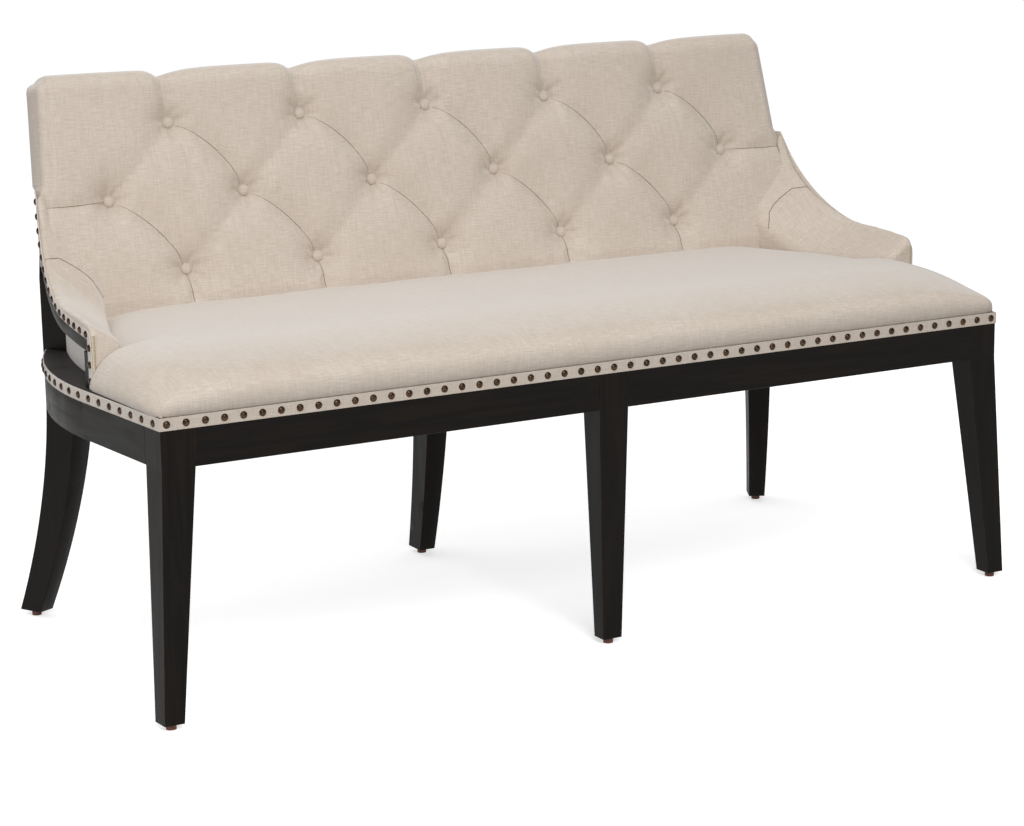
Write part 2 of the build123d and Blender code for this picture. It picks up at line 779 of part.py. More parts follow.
back_boards = (back_lower_rail, back_top_rail, back_stile, back_webbing)
with BuildPart() as back_cushion:
    with BuildSketch(Plane.XZ):
        with BuildLine():
            back_side = Polyline(
                (back_half_width_low, back_low_end), (back_half_width_low, back_low_start),
                (back_arm_half_width, back_side_foot), (back_half_width, tuft_middle_height),
                (back_half_width_top, back_height),
            )
            mirror(back_side, about=Plane.YZ)
            Line(back_side @ 0, (-back_half_width_low, back_low_end))
            Line(back_side @ 1, (-back_half_width_top, back_height))
        make_face()
    extrude(amount=overall_depth, both=True)
    with BuildSketch(Plane.YZ):
        with BuildLine():
            padding_y = (pleat_height + pillow_height) / rake_cos
            Polyline(
                (raked_y(back_low_end) - padding_y, back_low_end),
                (raked_y(back_height) - padding_y, back_height),
                (raked_y(back_height) + frame_setback, back_height),
                (back_rear_y, knee_height),
                (back_rear_y, back_low_end),
                close=True,
            )
        make_face()
    extrude(amount=arm_half_width, both=True, mode=Mode.INTERSECT)
    fillet(back_cushion.edges().filter_by(Axis.X).group_by(Axis.Z)[-1], radius=back_top_roll)
    for groove in grooves:
        add(groove, mode=Mode.SUBTRACT)
    add(back_corner.part, mode=Mode.SUBTRACT)
    mirror(back_corner.part, about=Plane.YZ, mode=Mode.SUBTRACT)
    with Locations(back_plane):
        with Locations(*button_spots):
            add(dimple.part, mode=Mode.SUBTRACT)
    for board in back_boards:
        add(board.part, mode=Mode.SUBTRACT)
    for item in (rear_leg_right, arm_rail_right, beside_arm):
        add(item.part, mode=Mode.SUBTRACT)
        mirror(item.part, about=Plane.YZ, mode=Mode.SUBTRACT)


# Light panel set back in the opening under the arm rail
with BuildSketch() as panel_side:
    add(under_rail)
    with Locations((arm_rear_y, rail_rear_top - arm_rail_height)):
        Rectangle(frame_depth, back_height, align=(Align.CENTER, Align.MIN), mode=Mode.SUBTRACT)
    add(arm_post_side.sketch)
with BuildPart() as arm_panel_right:
    add(arm_layer(panel_side.sketch, arm_hollow_depth - arm_panel_thickness, arm_hollow_depth))
    for item in (rear_leg_right, back_cushion):
        add(item.part, mode=Mode.SUBTRACT)

# Outside back: a covered panel that follows the rear of the cushion
panel_rise = panel_thickness / rake_cos
rear_knee = knee_height + (panel_thickness - panel_rise) / rake_tan
panel_top = back_height - back_top_roll
with BuildPart() as outside_back:
    with BuildSketch(Plane.YZ):
        with BuildLine():
            Polyline(
                (back_rear_y, deck_top), (rear_y, deck_top), (rear_y, rear_knee),
                (raked_y(panel_top) + frame_setback + panel_rise, panel_top),
                (raked_y(panel_top) + frame_setback, panel_top), (back_rear_y, knee_height),
                close=True,
            )
        make_face()
    extrude(amount=rear_corner_half_width, both=True)
    add(rear_leg_right.part, mode=Mode.SUBTRACT)
    mirror(rear_leg_right.part, about=Plane.YZ, mode=Mode.SUBTRACT)

# Padded arm, rounded along its top, hollow behind the arm rail
with BuildSketch() as pad_side:
    with BuildLine():
        low, high = arm_curve(-arm_pad_rise, arm_front_y)
        Polyline(high, (arm_rear_y, high[1]), (arm_rear_y, deck_top), low)
    make_face()
inner_front = arm_half_width - arm_front_thickness
inner_rear = inner_front - (arm_rear_y - arm_front_y) * tan(radians(arm_inner_turn))
with BuildPart() as arm_pad_right:
    with BuildSketch(Plane.YZ.offset(arm_half_width)):
        add(pad_side.sketch)
    extrude(amount=arm_half_width, dir=(-1, 0, -tan(radians(arm_pad_slope))))
    with BuildSketch(Plane.XY.offset(deck_top)):
        with BuildLine():
            Polyline(
                (inner_front, arm_front_y), (inner_rear, arm_rear_y),
                (arm_half_width, arm_rear_y), (arm_half_width, arm_front_y),
                close=True,
            )
        make_face()
        add(arm_side.sketch, mode=Mode.INTERSECT)
    extrude(amount=back_height, mode=Mode.INTERSECT)
    chamfer(
        arm_pad_right.edges().filter_by(
            lambda edge: edge.center().Z > arm_height and edge.bounding_box().size.Y > arm_edge_radius
        ),
        length=arm_edge_radius,
    )
    add(arm_layer(under_band, 0, arm_rail_depth), mode=Mode.SUBTRACT)
    add(arm_layer(under_rail, 0, arm_hollow_depth), mode=Mode.SUBTRACT)
    for item in (
        arm_welt_right, rear_leg_right, arm_post_right, arm_panel_right, back_cushion, back_lower_rail,
    ):
        add(item.part, mode=Mode.SUBTRACT)

# What the rolled side edge leaves free above and beside the seat cushion
with BuildPart() as seat_side_cut:
    side_heading = Vector(sin(radians(side_flare)), cos(radians(side_flare)), 0)
    side_corner = Vector(half_width, front_y, 0) - side_heading * overrun
    side_end = side_corner + side_heading * overall_depth
    with BuildSketch(Plane(origin=side_end, x_dir=(side_heading.Y, -side_heading.X, 0), z_dir=-side_heading)):
        with BuildLine():
            Polyline(
                (0, deck_top), (seat_bulge, deck_top + seat_bulge_height),
                (0, seat_side_height - seat_side_roll / 3), (-seat_side_roll / 2, seat_side_height),
                (-seat_side_roll * 3, seat_crown), (-seat_side_roll * 3, seat_crown + overrun),
                (seat_bulge + overrun, seat_crown + overrun), (seat_bulge + overrun, deck_top),
                close=True,
            )
        make_face()
    extrude(amount=overall_depth)

# Seat cushion: crowned, with a rolled front edge, between the arms and on under the back
with BuildPart() as seat_cushion:
    with BuildSketch(Plane.YZ):
        with BuildLine():
            seat_front = Polyline(
                (front_y, deck_top), (front_y - seat_bulge, deck_top + seat_bulge_height),
                (front_y, seat_edge_height - seat_roll / 2),
                (front_y + seat_roll / 4, seat_edge_height - seat_roll / 4),
                (front_y + seat_roll / 2, seat_edge_height - seat_bulge * 2),
                (front_y + seat_roll, seat_edge_height - seat_bulge / 4),
                (front_y + seat_roll * 2, seat_edge_height + seat_bulge * 2),
                (front_y + seat_roll * 3, seat_crown - seat_bulge * 2),
                (front_y + seat_roll * 4, seat_crown - seat_bulge / 2),
                (front_y + seat_roll * 5, seat_crown + seat_bulge / 4),
                (front_y + seat_roll * 6, seat_crown + seat_bulge / 4),
                (front_y + seat_roll * 8, seat_crown - seat_bulge / 4),
                (back_rear_y - frame_board - web_thickness, seat_rear_height),
            )
            Polyline(
                seat_front @ 1, (back_rear_y - frame_board - web_thickness, deck_top), (front_y, deck_top)
            )
        make_face()
    extrude(amount=arm_half_width, both=True)
    with BuildSketch():
        with BuildLine():
            seat_side = Polyline(
                (half_width + seat_bulge, front_y - seat_bulge),
                (half_width + seat_bulge + (frame_depth - arm_length) * flare_run, arm_front_y),
                (inner_front, arm_front_y), (inner_rear, arm_rear_y),
            )
            mirror(seat_side, about=Plane.YZ)
            Line(seat_side @ 0, (-(half_width + seat_bulge), front_y - seat_bulge))
            Line(seat_side @ 1, (-inner_rear, arm_rear_y))
        make_face()
    extrude(amount=back_height, mode=Mode.INTERSECT)
    add(seat_side_cut.part, mode=Mode.SUBTRACT)
    mirror(seat_side_cut.part, about=Plane.YZ, mode=Mode.SUBTRACT)
    for item in (back_cushion, back_webbing, arm_welt_right):
        add(item.part, mode=Mode.SUBTRACT)
    mirror(arm_welt_right.part, about=Plane.YZ, mode=Mode.SUBTRACT)

# Glides under the six legs
with BuildPart() as glides:
    with Locations(
        front_foot, (-front_foot[0], front_foot[1]), front_middle_foot,
        rear_foot, (-rear_foot[0], rear_foot[1]), rear_middle_foot,
    ):
        add(glide.part)

os.makedirs("parts", exist_ok=True)
paired = {
    "front_leg": front_leg_right,
    "rear_leg": rear_leg_right,
    "front_rail": front_rail_right,
    "side_rail": side_rail_right,
    "rear_rail": rear_rail_right,
    "seat_brace": seat_brace_right,
    "corner_block": corner_block_right,
    "corner_bolt": corner_bolt_right,
    "side_band": side_band_right,
    "side_nails": side_nails_right,
    "arm_pad": arm_pad_right,
    "arm_rail": arm_rail_right,
    "arm_post": arm_post_right,
    "arm_panel": arm_panel_right,
    "arm_band": arm_band_right,
    "arm_nails": arm_nails_right,
    "arm_welt": arm_welt_right,
}
for name, item in paired.items():
    for side, solid in (("right", item.part), ("left", mirror(item.part, about=Plane.YZ))):
        solid.label = name + "_" + side
        export_step(solid, "parts/" + solid.label + ".step")

single = {
    "front_leg_middle": front_leg_middle,
    "rear_leg_middle": rear_leg_middle,
    "seat_brace_middle": seat_brace_middle,
    "seat_deck": seat_deck,
    "dust_cover": dust_cover,
    "glides": glides,
    "front_band": front_band,
    "front_nails": front_nails,
    "seat_cushion": seat_cushion,
    "back_cushion": back_cushion,
    "back_buttons": back_buttons,
    "back_lower_rail": back_lower_rail,
    "back_stile": back_stile,
    "back_top_rail": back_top_rail,
    "back_webbing": back_webbing,
    "outside_back": outside_back,
}
for name, item in single.items():
    item.part.label = name
    export_step(item.part, "parts/" + name + ".step")
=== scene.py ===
import math

import bmesh
import bpy
import numpy as np
from mathutils import Matrix, Vector
from mathutils.bvhtree import BVHTree


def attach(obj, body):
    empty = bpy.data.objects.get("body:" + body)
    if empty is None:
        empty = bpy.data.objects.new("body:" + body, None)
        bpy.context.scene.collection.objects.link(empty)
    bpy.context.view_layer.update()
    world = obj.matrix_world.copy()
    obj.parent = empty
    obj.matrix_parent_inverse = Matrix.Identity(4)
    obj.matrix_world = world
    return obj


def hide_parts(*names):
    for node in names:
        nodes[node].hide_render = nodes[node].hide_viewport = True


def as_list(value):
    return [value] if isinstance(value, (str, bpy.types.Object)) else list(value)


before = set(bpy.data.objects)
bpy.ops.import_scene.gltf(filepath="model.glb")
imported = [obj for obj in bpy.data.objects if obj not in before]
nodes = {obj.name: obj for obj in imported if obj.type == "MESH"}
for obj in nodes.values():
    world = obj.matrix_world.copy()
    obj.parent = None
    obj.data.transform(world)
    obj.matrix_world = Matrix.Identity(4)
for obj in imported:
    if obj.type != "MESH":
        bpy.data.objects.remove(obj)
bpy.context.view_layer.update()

# Upholstered bench with a tufted back. All lengths are in metres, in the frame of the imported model.

white = (1, 1, 1, 1)
weldDistance = 0.00002  # joins the doubled corners of a node's facets
sharpAngle = 35  # edges that turn by more degrees than this are rounded
trimSegments = 3  # facets across a rounded edge of a band, panel or welt
print("frame loaded:", len(nodes), "nodes")


def addObject(name, data):
    made = bpy.data.objects.new(name, data)
    bpy.context.scene.collection.objects.link(made)
    return made


# Camera, with its angles in degrees

cameraSet = {"place": (-2.0756, -3.7646, 1.2497), "turn": 28.970, "tilt": 12.264, "roll": -1.0364,
             "lens": 92.73, "sensor": 36, "farthest": 60}


def placeCamera(settings):
    turn, tilt, roll = (math.radians(settings[key]) for key in ("turn", "tilt", "roll"))
    ahead = Vector((math.sin(turn) * math.cos(tilt), math.cos(turn) * math.cos(tilt), -math.sin(tilt)))
    across = Vector((math.cos(turn), -math.sin(turn), 0))
    upward = across.cross(ahead)
    right = across * math.cos(roll) + upward * math.sin(roll)
    top = upward * math.cos(roll) - across * math.sin(roll)
    data = bpy.data.cameras.new("photoCamera")
    data.lens = settings["lens"]
    data.sensor_width = settings["sensor"]
    data.clip_end = settings["farthest"]
    camera = addObject("photoCamera", data)
    axes = Matrix((right, top, -ahead)).transposed().to_4x4()
    camera.matrix_world = Matrix.Translation(settings["place"]) @ axes
    bpy.context.scene.camera = camera


placeCamera(cameraSet)
print("camera placed")


# Short forms for shader nodes


def tint(red, green, blue):
    # screen colour, 0 to 255, as a linear colour
    return tuple(c / 12.92 if c <= 0.04045 else ((c + 0.055) / 1.055) ** 2.4
                 for c in (red / 255, green / 255, blue / 255)) + (1,)


def addNode(tree, kind, inputs=None, **settings):
    node = tree.nodes.new(kind)
    for key, value in settings.items():
        setattr(node, key, value)
    for key, value in (inputs or {}).items():
        if isinstance(value, bpy.types.NodeSocket):
            tree.links.new(value, node.inputs[key])
        else:
            node.inputs[key].default_value = value
    return node


def doMath(tree, operation, first, second=0.0, clamp=False):
    return addNode(tree, "ShaderNodeMath", {0: first, 1: second},
                   operation=operation, use_clamp=clamp).outputs[0]


def mixValues(tree, factor, low, high):
    return addNode(tree, "ShaderNodeMix", {0: factor, 2: low, 3: high}).outputs[0]


def blendColours(tree, factor, low, high):
    return addNode(tree, "ShaderNodeMix", {0: factor, 6: low, 7: high}, data_type="RGBA").outputs[2]


def drawOut(tree, value, span, least=0.0, most=1.0):
    # the part of a value that lies in the span, drawn out to run from least to most
    return addNode(tree, "ShaderNodeMapRange",
                   {0: value, 1: span[0], 2: span[1], 3: least, 4: most}).outputs[0]


def addNoise(tree, place, scale, detail, roughness=0.5, distortion=0.0):
    return addNode(tree, "ShaderNodeTexNoise", {
        "Vector": place, "Scale": scale, "Detail": detail, "Roughness": roughness, "Distortion": distortion,
    }).outputs[0]


def addBump(tree, shader, strength, distance, height):
    bump = addNode(tree, "ShaderNodeBump", {"Strength": strength, "Distance": distance, "Height": height})
    tree.links.new(bump.outputs[0], shader.inputs["Normal"])


def newGroup(name, inputs, outputs):
    tree = bpy.data.node_groups.new(name, "ShaderNodeTree")
    for label, kind, value in inputs:
        socket = tree.interface.new_socket(label, in_out="INPUT", socket_type=kind)
        socket.default_value = value
    for label, kind in outputs:
        tree.interface.new_socket(label, in_out="OUTPUT", socket_type=kind)
    return tree, tree.nodes.new("NodeGroupInput"), tree.nodes.new("NodeGroupOutput")


def startMaterial(name, inputs):
    material = bpy.data.materials.new(name)
    material.use_nodes = True
    tree = material.node_tree
    shader = tree.nodes["Principled BSDF"]
    for key, value in inputs.items():
        shader.inputs[key].default_value = value
    return material, tree, shader


# Shared patterns: woven linen, wood grain and worn edges

weaveSet = {"slubLength": 44.0, "slubWidth": 780.0, "threads": 5200.0, "detail": 2.0, "roughness": 0.6,
            "seeds": (0.0, 7.3), "shares": (0.6, 0.4), "threadHeight": 0.12, "driftScale": 9.0}
grainSet = {"stretch": (60.0, 60.0, 4.0), "figureDetail": 4.0, "figureRoughness": 0.62, "twist": 0.6,
            "poreScale": 9.0, "poreDetail": 2.0, "figureHeight": 0.5}
wearSet = {"reach": 0.002, "amount": 1.0, "samples": 4, "contrast": 7.0, "patchScale": 45.0,
           "patchDetail": 3.0, "patchSpan": (0.42, 0.62)}


def makeWeaveGroup(settings):
    # plain weave with slubs; threads follow whichever way the surface faces
    tree, given, out = newGroup(
        "linenWeave",
        [("Slub Length", "NodeSocketFloat", settings["slubLength"]),
         ("Slub Width", "NodeSocketFloat", settings["slubWidth"]),
         ("Thread Count", "NodeSocketFloat", settings["threads"])],
        [("Tone", "NodeSocketFloat"), ("Height", "NodeSocketFloat"), ("Drift", "NodeSocketFloat")],
    )
    place = addNode(tree, "ShaderNodeTexCoord")
    spot = addNode(tree, "ShaderNodeSeparateXYZ", {0: place.outputs["Object"]})
    facing = addNode(tree, "ShaderNodeSeparateXYZ", {0: place.outputs["Normal"]})
    size = [doMath(tree, "ABSOLUTE", facing.outputs[i]) for i in range(3)]
    facesX = doMath(tree, "GREATER_THAN", size[0], doMath(tree, "MAXIMUM", size[1], size[2]))
    facesZ = doMath(tree, "GREATER_THAN", size[2], doMath(tree, "MAXIMUM", size[0], size[1]))
    weft = mixValues(tree, facesX, spot.outputs[0], spot.outputs[1])
    warp = mixValues(tree, facesZ, spot.outputs[2], spot.outputs[1])
    streaks = []
    directions = ((weft, warp), (warp, weft))
    for (along, across), seed, share in zip(directions, settings["seeds"], settings["shares"]):
        stretched = addNode(tree, "ShaderNodeCombineXYZ", {
            0: doMath(tree, "MULTIPLY", along, given.outputs["Slub Length"]),
            1: doMath(tree, "MULTIPLY", across, given.outputs["Slub Width"]),
            2: seed,
        })
        streak = addNoise(tree, stretched.outputs[0], 1.0, settings["detail"], settings["roughness"])
        streaks.append(doMath(tree, "MULTIPLY", streak, share))
    slubs = doMath(tree, "ADD", streaks[0], streaks[1])
    over = doMath(tree, "SINE", doMath(tree, "MULTIPLY", weft, given.outputs["Thread Count"]))
    under = doMath(tree, "SINE", doMath(tree, "MULTIPLY", warp, given.outputs["Thread Count"]))
    threads = doMath(tree, "MULTIPLY", doMath(tree, "MULTIPLY", over, under), settings["threadHeight"])
    drift = addNoise(tree, place.outputs["Object"], settings["driftScale"], settings["detail"])
    tree.links.new(slubs, out.inputs["Tone"])
    tree.links.new(doMath(tree, "ADD", slubs, threads), out.inputs["Height"])
    tree.links.new(drift, out.inputs["Drift"])
    return tree


def makeGrainGroup(settings):
    # long fibres and pores, stretched along the board
    tree, given, out = newGroup(
        "woodGrain",
        [("Stretch", "NodeSocketVector", settings["stretch"])],
        [("Tone", "NodeSocketFloat"), ("Height", "NodeSocketFloat")],
    )
    place = addNode(tree, "ShaderNodeTexCoord")
    scaled = addNode(tree, "ShaderNodeVectorMath", {0: place.outputs["Object"], 1: given.outputs["Stretch"]},
                     operation="MULTIPLY").outputs[0]
    figure = addNoise(tree, scaled, 1.0, settings["figureDetail"], settings["figureRoughness"],
                      settings["twist"])
    pores = addNoise(tree, scaled, settings["poreScale"], settings["poreDetail"])
    height = doMath(tree, "ADD", doMath(tree, "MULTIPLY", figure, settings["figureHeight"]), pores)
    tree.links.new(figure, out.inputs["Tone"])
    tree.links.new(height, out.inputs["Height"])
    return tree


def makeWearGroup(settings):
    # rubbed edges, broken up by noise
    tree, given, out = newGroup(
        "edgeWear",
        [("Reach", "NodeSocketFloat", settings["reach"]), ("Amount", "NodeSocketFloat", settings["amount"])],
        [("Mask", "NodeSocketFloat")],
    )
    rounded = addNode(tree, "ShaderNodeBevel", {"Radius": given.outputs["Reach"]},
                      samples=settings["samples"])
    real = addNode(tree, "ShaderNodeNewGeometry")
    likeness = addNode(tree, "ShaderNodeVectorMath", {0: rounded.outputs[0], 1: real.outputs["True Normal"]},
                       operation="DOT_PRODUCT").outputs["Value"]
    turned = doMath(tree, "SUBTRACT", 1.0, likeness)
    edge = doMath(tree, "MULTIPLY", turned, settings["contrast"], clamp=True)
    place = addNode(tree, "ShaderNodeTexCoord")
    patches = addNoise(tree, place.outputs["Object"], settings["patchScale"], settings["patchDetail"])
    broken = doMath(tree, "MULTIPLY", edge, drawOut(tree, patches, settings["patchSpan"]))
    tree.links.new(doMath(tree, "MULTIPLY", broken, given.outputs["Amount"], clamp=True), out.inputs["Mask"])
    return tree


weaveGroup = makeWeaveGroup(weaveSet)
grainGroup = makeGrainGroup(grainSet)
wearGroup = makeWearGroup(wearSet)


# Cloths: a span is the part of the pattern that a change of colour takes up

# the paler tint towards an edge-on view is painted sheen, the light of the pale room glancing off the cloth
linenSet = {"roughness": 0.92, "specular": 0.2, "sheen": 0.06, "sheenRoughness": 0.6,
            "threads": weaveSet["threads"], "bump": 0.5, "bumpDepth": 0.0006,
            "toneSpan": (0.36, 0.64), "driftSpan": (0.35, 0.65), "patchShare": 0.25,
            "paintedSheen": 0.5, "paintedSheenSpan": (0.54, 0.80), "paintedSheenTint": tint(234, 230, 226),
            "dark": tint(190, 177, 163), "light": tint(214, 203, 192), "patch": tint(193, 179, 164)}
bandSet = dict(linenSet, dark=tint(198, 188, 177), light=tint(224, 216, 206))
weltSet = dict(linenSet, dark=tint(158, 145, 116), light=tint(190, 179, 150), patch=tint(150, 138, 110))
panelSet = dict(linenSet, dark=tint(205, 196, 190), light=tint(226, 220, 214), patch=tint(205, 198, 192))
coverSet = dict(linenSet, paintedSheen=0.0, sheen=0.0, dark=tint(22, 21, 20), light=tint(40, 38, 36),
                patch=tint(24, 22, 22))
webSet = dict(linenSet, dark=tint(128, 104, 74), light=tint(166, 140, 104), patch=tint(120, 96, 70))
# colour of the thin dark lines in the pleats and seams: painted shade where the cloth folds in
pleatShadeSet = dict(linenSet, paintedSheen=0.0, dark=tint(120, 107, 93), light=tint(142, 129, 114),
                patch=tint(116, 102, 88))


def makeLinen(name, settings):
    material, tree, shader = startMaterial(name, {
        "Roughness": settings["roughness"], "Specular IOR Level": settings["specular"],
        "Sheen Weight": settings["sheen"], "Sheen Roughness": settings["sheenRoughness"]})
    weave = addNode(tree, "ShaderNodeGroup", {"Thread Count": settings["threads"]}, node_tree=weaveGroup)
    tone = drawOut(tree, weave.outputs["Tone"], settings["toneSpan"])
    cloth = blendColours(tree, tone, settings["dark"], settings["light"])
    drift = drawOut(tree, weave.outputs["Drift"], settings["driftSpan"])
    patch = blendColours(tree, settings["patchShare"], cloth, settings["patch"])
    cloth = blendColours(tree, drift, cloth, patch)
    slant = addNode(tree, "ShaderNodeLayerWeight", {"Blend": 0.5}).outputs["Facing"]
    paintedSheen = drawOut(tree, slant, settings["paintedSheenSpan"], most=settings["paintedSheen"])  # painted sheen: paler where the cloth is seen edge on
    tree.links.new(blendColours(tree, paintedSheen, cloth, settings["paintedSheenTint"]), shader.inputs["Base Color"])
    addBump(tree, shader, settings["bump"], settings["bumpDepth"], weave.outputs["Height"])
    return material


linen = makeLinen("oatmealLinen", linenSet)
bandCloth = makeLinen("paleBand", bandSet)
weltCloth = makeLinen("strawWelt", weltSet)
panelCloth = makeLinen("paleCloth", panelSet)
coverCloth = makeLinen("blackCambric", coverSet)
webCloth = makeLinen("juteWebbing", webSet)
pleatShadeCloth = makeLinen("pleatShade", pleatShadeSet)


# Woods, with the grain running up, across or from front to back

uprightSet = {"roughness": 0.46, "specular": 0.10, "stretch": (70.0, 70.0, 5.0), "reach": 0.0016,
              "wear": 0.6, "bump": 0.25, "bumpDepth": 0.0004, "toneSpan": (0.35, 0.65),
              "glossSpan": (0.3, 0.7), "glossier": 0.06, "duller": 0.08,
              "dark": tint(7, 5, 4), "light": tint(22, 17, 13), "worn": tint(74, 46, 32)}
crossSet = dict(uprightSet, stretch=(5.0, 70.0, 70.0))
deepSet = dict(uprightSet, stretch=(70.0, 5.0, 70.0))
# the deck's top: the espresso painted paler grey as painted sheen, the light its top catches; grain and worn
# edges as on the rest
ledgeSheenSet = dict(crossSet, roughness=0.5, dark=tint(50, 47, 47), light=tint(72, 69, 69),
                worn=tint(104, 88, 78))
bareSet = dict(uprightSet, stretch=(5.0, 60.0, 60.0), roughness=0.7, dark=tint(172, 140, 104),
               light=tint(206, 178, 142), worn=tint(214, 190, 158))


def makeWood(name, settings):
    material, tree, shader = startMaterial(name, {"Specular IOR Level": settings["specular"]})
    grain = addNode(tree, "ShaderNodeGroup", {"Stretch": settings["stretch"]}, node_tree=grainGroup)
    wear = addNode(tree, "ShaderNodeGroup", {"Reach": settings["reach"], "Amount": settings["wear"]},
                   node_tree=wearGroup)
    tone = drawOut(tree, grain.outputs["Tone"], settings["toneSpan"])
    stained = blendColours(tree, tone, settings["dark"], settings["light"])
    worn = blendColours(tree, wear.outputs["Mask"], stained, settings["worn"])
    gloss = drawOut(tree, grain.outputs["Tone"], settings["glossSpan"],
                    settings["roughness"] - settings["glossier"], settings["roughness"] + settings["duller"])
    tree.links.new(worn, shader.inputs["Base Color"])
    tree.links.new(gloss, shader.inputs["Roughness"])
    addBump(tree, shader, settings["bump"], settings["bumpDepth"], grain.outputs["Height"])
    return material


uprightWood = makeWood("espressoUpright", uprightSet)
crossWood = makeWood("espressoCross", crossSet)
deepWood = makeWood("espressoDeep", deepSet)
ledgeSheenWood = makeWood("ledgePaintedSheen", ledgeSheenSet)
bareWood = makeWood("bareHardwood", bareSet)


# Metal of the nails and bolts, and plastic of the glides

bronzeSet = {"low": tint(38, 29, 23), "high": tint(84, 64, 50), "roughness": 0.3, "scale": 400.0,
             "detail": 2.0, "toneSpan": (0.35, 0.65), "glossSpan": (0.3, 0.7), "glossier": 0.08,
             "duller": 0.1}
steelSet = dict(bronzeSet, low=tint(150, 150, 148), high=tint(190, 190, 188), roughness=0.4, scale=200.0)
plasticSet = {"low": tint(84, 44, 30), "high": tint(112, 64, 44), "roughness": 0.55, "scale": 250.0,
              "detail": 2.0, "bump": 0.2, "bumpDepth": 0.0003}


def addMottle(tree, settings):
    place = addNode(tree, "ShaderNodeTexCoord")
    return addNoise(tree, place.outputs["Object"], settings["scale"], settings["detail"])


def makeMetal(name, settings):
    material, tree, shader = startMaterial(name, {"Metallic": 1.0})
    mottle = addMottle(tree, settings)
    tone = drawOut(tree, mottle, settings["toneSpan"])
    gloss = drawOut(tree, mottle, settings["glossSpan"], settings["roughness"] - settings["glossier"],
                    settings["roughness"] + settings["duller"])
    tree.links.new(blendColours(tree, tone, settings["low"], settings["high"]), shader.inputs["Base Color"])
    tree.links.new(gloss, shader.inputs["Roughness"])
    return material


def makePlastic(name, settings):
    material, tree, shader = startMaterial(name, {"Roughness": settings["roughness"]})
    mottle = addMottle(tree, settings)
    tree.links.new(blendColours(tree, mottle, settings["low"], settings["high"]), shader.inputs["Base Color"])
    addBump(tree, shader, settings["bump"], settings["bumpDepth"], mottle)
    return material


bronze = makeMetal("antiqueBronze", bronzeSet)
steel = makeMetal("zincSteel", steelSet)
glidePlastic = makePlastic("glidePlastic", plasticSet)
print("materials made")


# Pieces of the frame, with softened edges

frameEdge = {"width": 0.0012, "segments": 2}
frameSet = {
    uprightWood: ("front_leg_left", "front_leg_right", "front_leg_middle", "rear_leg_left", "rear_leg_right",
                  "rear_leg_middle", "arm_post_left", "arm_post_right"),
    crossWood: ("front_rail_left", "front_rail_right", "rear_rail_left", "rear_rail_right"),
    deepWood: ("side_rail_left", "side_rail_right", "arm_rail_left", "arm_rail_right"),
    ledgeSheenWood: ("seat_deck",),
    bareWood: ("seat_brace_left", "seat_brace_right", "seat_brace_middle", "corner_block_left",
               "corner_block_right", "back_lower_rail", "back_stile", "back_top_rail"),
    glidePlastic: ("glides",),
    steel: ("corner_bolt_left", "corner_bolt_right"),
}


def softenEdges(piece, width, segments):
    piece.modifiers.new("weld", "WELD").merge_threshold = weldDistance
    bevel = piece.modifiers.new("softEdge", "BEVEL")
    bevel.width = width
    bevel.segments = segments
    bevel.limit_method = "ANGLE"
    bevel.angle_limit = math.radians(sharpAngle)
    return bevel


def dress(name, material):
    piece = nodes[name]
    piece.data.materials.clear()
    piece.data.materials.append(material)
    if name != "glides":
        softenEdges(piece, frameEdge["width"], frameEdge["segments"]).harden_normals = True


for material, names in frameSet.items():
    for name in names:
        dress(name, material)
print("frame dressed")


# Mesh helpers


def makePiece(name, mesh, material, slotName, replaced=()):
    piece = addObject(name, mesh)
    mesh.materials.clear()
    mesh.materials.append(material)
    if replaced:
        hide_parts(*replaced)
    return piece


def gridMesh(name, points):
    # one sheet of four-sided faces from rows of points, with its outer rim closed behind it
    rows, columns = points.shape[:2]
    corners = np.arange(rows * columns).reshape(rows, columns)
    faces = np.stack([corners[:-1, :-1], corners[:-1, 1:], corners[1:, 1:], corners[1:, :-1]], -1)
    rim = np.concatenate([corners[0, :-1], corners[:-1, -1], corners[-1, :0:-1], corners[:0:-1, 0]])
    mesh = bpy.data.meshes.new(name)
    mesh.from_pydata(points.reshape(-1, 3).tolist(), [], faces.reshape(-1, 4).tolist() + [rim[::-1].tolist()])
    mesh.update()
    mesh.shade_smooth()
    return mesh


def softCopy(node, name, settings):
    # the node's own shape as a linen piece, remeshed evenly and relaxed; a thin rim is first thickened
    worker = addObject(name + "Work", nodes[node].data.copy())
    if settings["thicken"]:
        worker.modifiers.new("weld", "WELD").merge_threshold = weldDistance
        grow = worker.modifiers.new("grow", "DISPLACE")
        grow.mid_level = 0.0
        grow.strength = settings["thicken"]
    remesh = worker.modifiers.new("remesh", "REMESH")
    remesh.mode = "VOXEL"
    remesh.voxel_size = settings["voxel"]
    relax = worker.modifiers.new("relax", "SMOOTH")
    relax.factor = settings["relax"]
    relax.iterations = settings["rounds"]
    bpy.context.view_layer.update()
    baked = bpy.data.meshes.new_from_object(worker.evaluated_get(bpy.context.evaluated_depsgraph_get()))
    bpy.data.objects.remove(worker)
    baked.name = name
    baked.shade_smooth()
    return makePiece(name, baked, linen, "linen", (node,))


def roundedCopy(node, name, material, slotName, edge):
    # the node's own shape with softly rounded edges
    piece = makePiece(name, nodes[node].data.copy(), material, slotName, (node,))
    softenEdges(piece, edge, trimSegments)
    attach(piece, "root")
    return piece


def readVerts(mesh, what):
    values = np.zeros(len(mesh.vertices) * 3)
    mesh.vertices.foreach_get(what, values)
    return values.reshape(-1, 3)


def meshTree(name):
    mesh = bpy.data.objects[name].data
    return BVHTree.FromPolygons([vert.co for vert in mesh.vertices],
                                [face.vertices[:] for face in mesh.polygons])


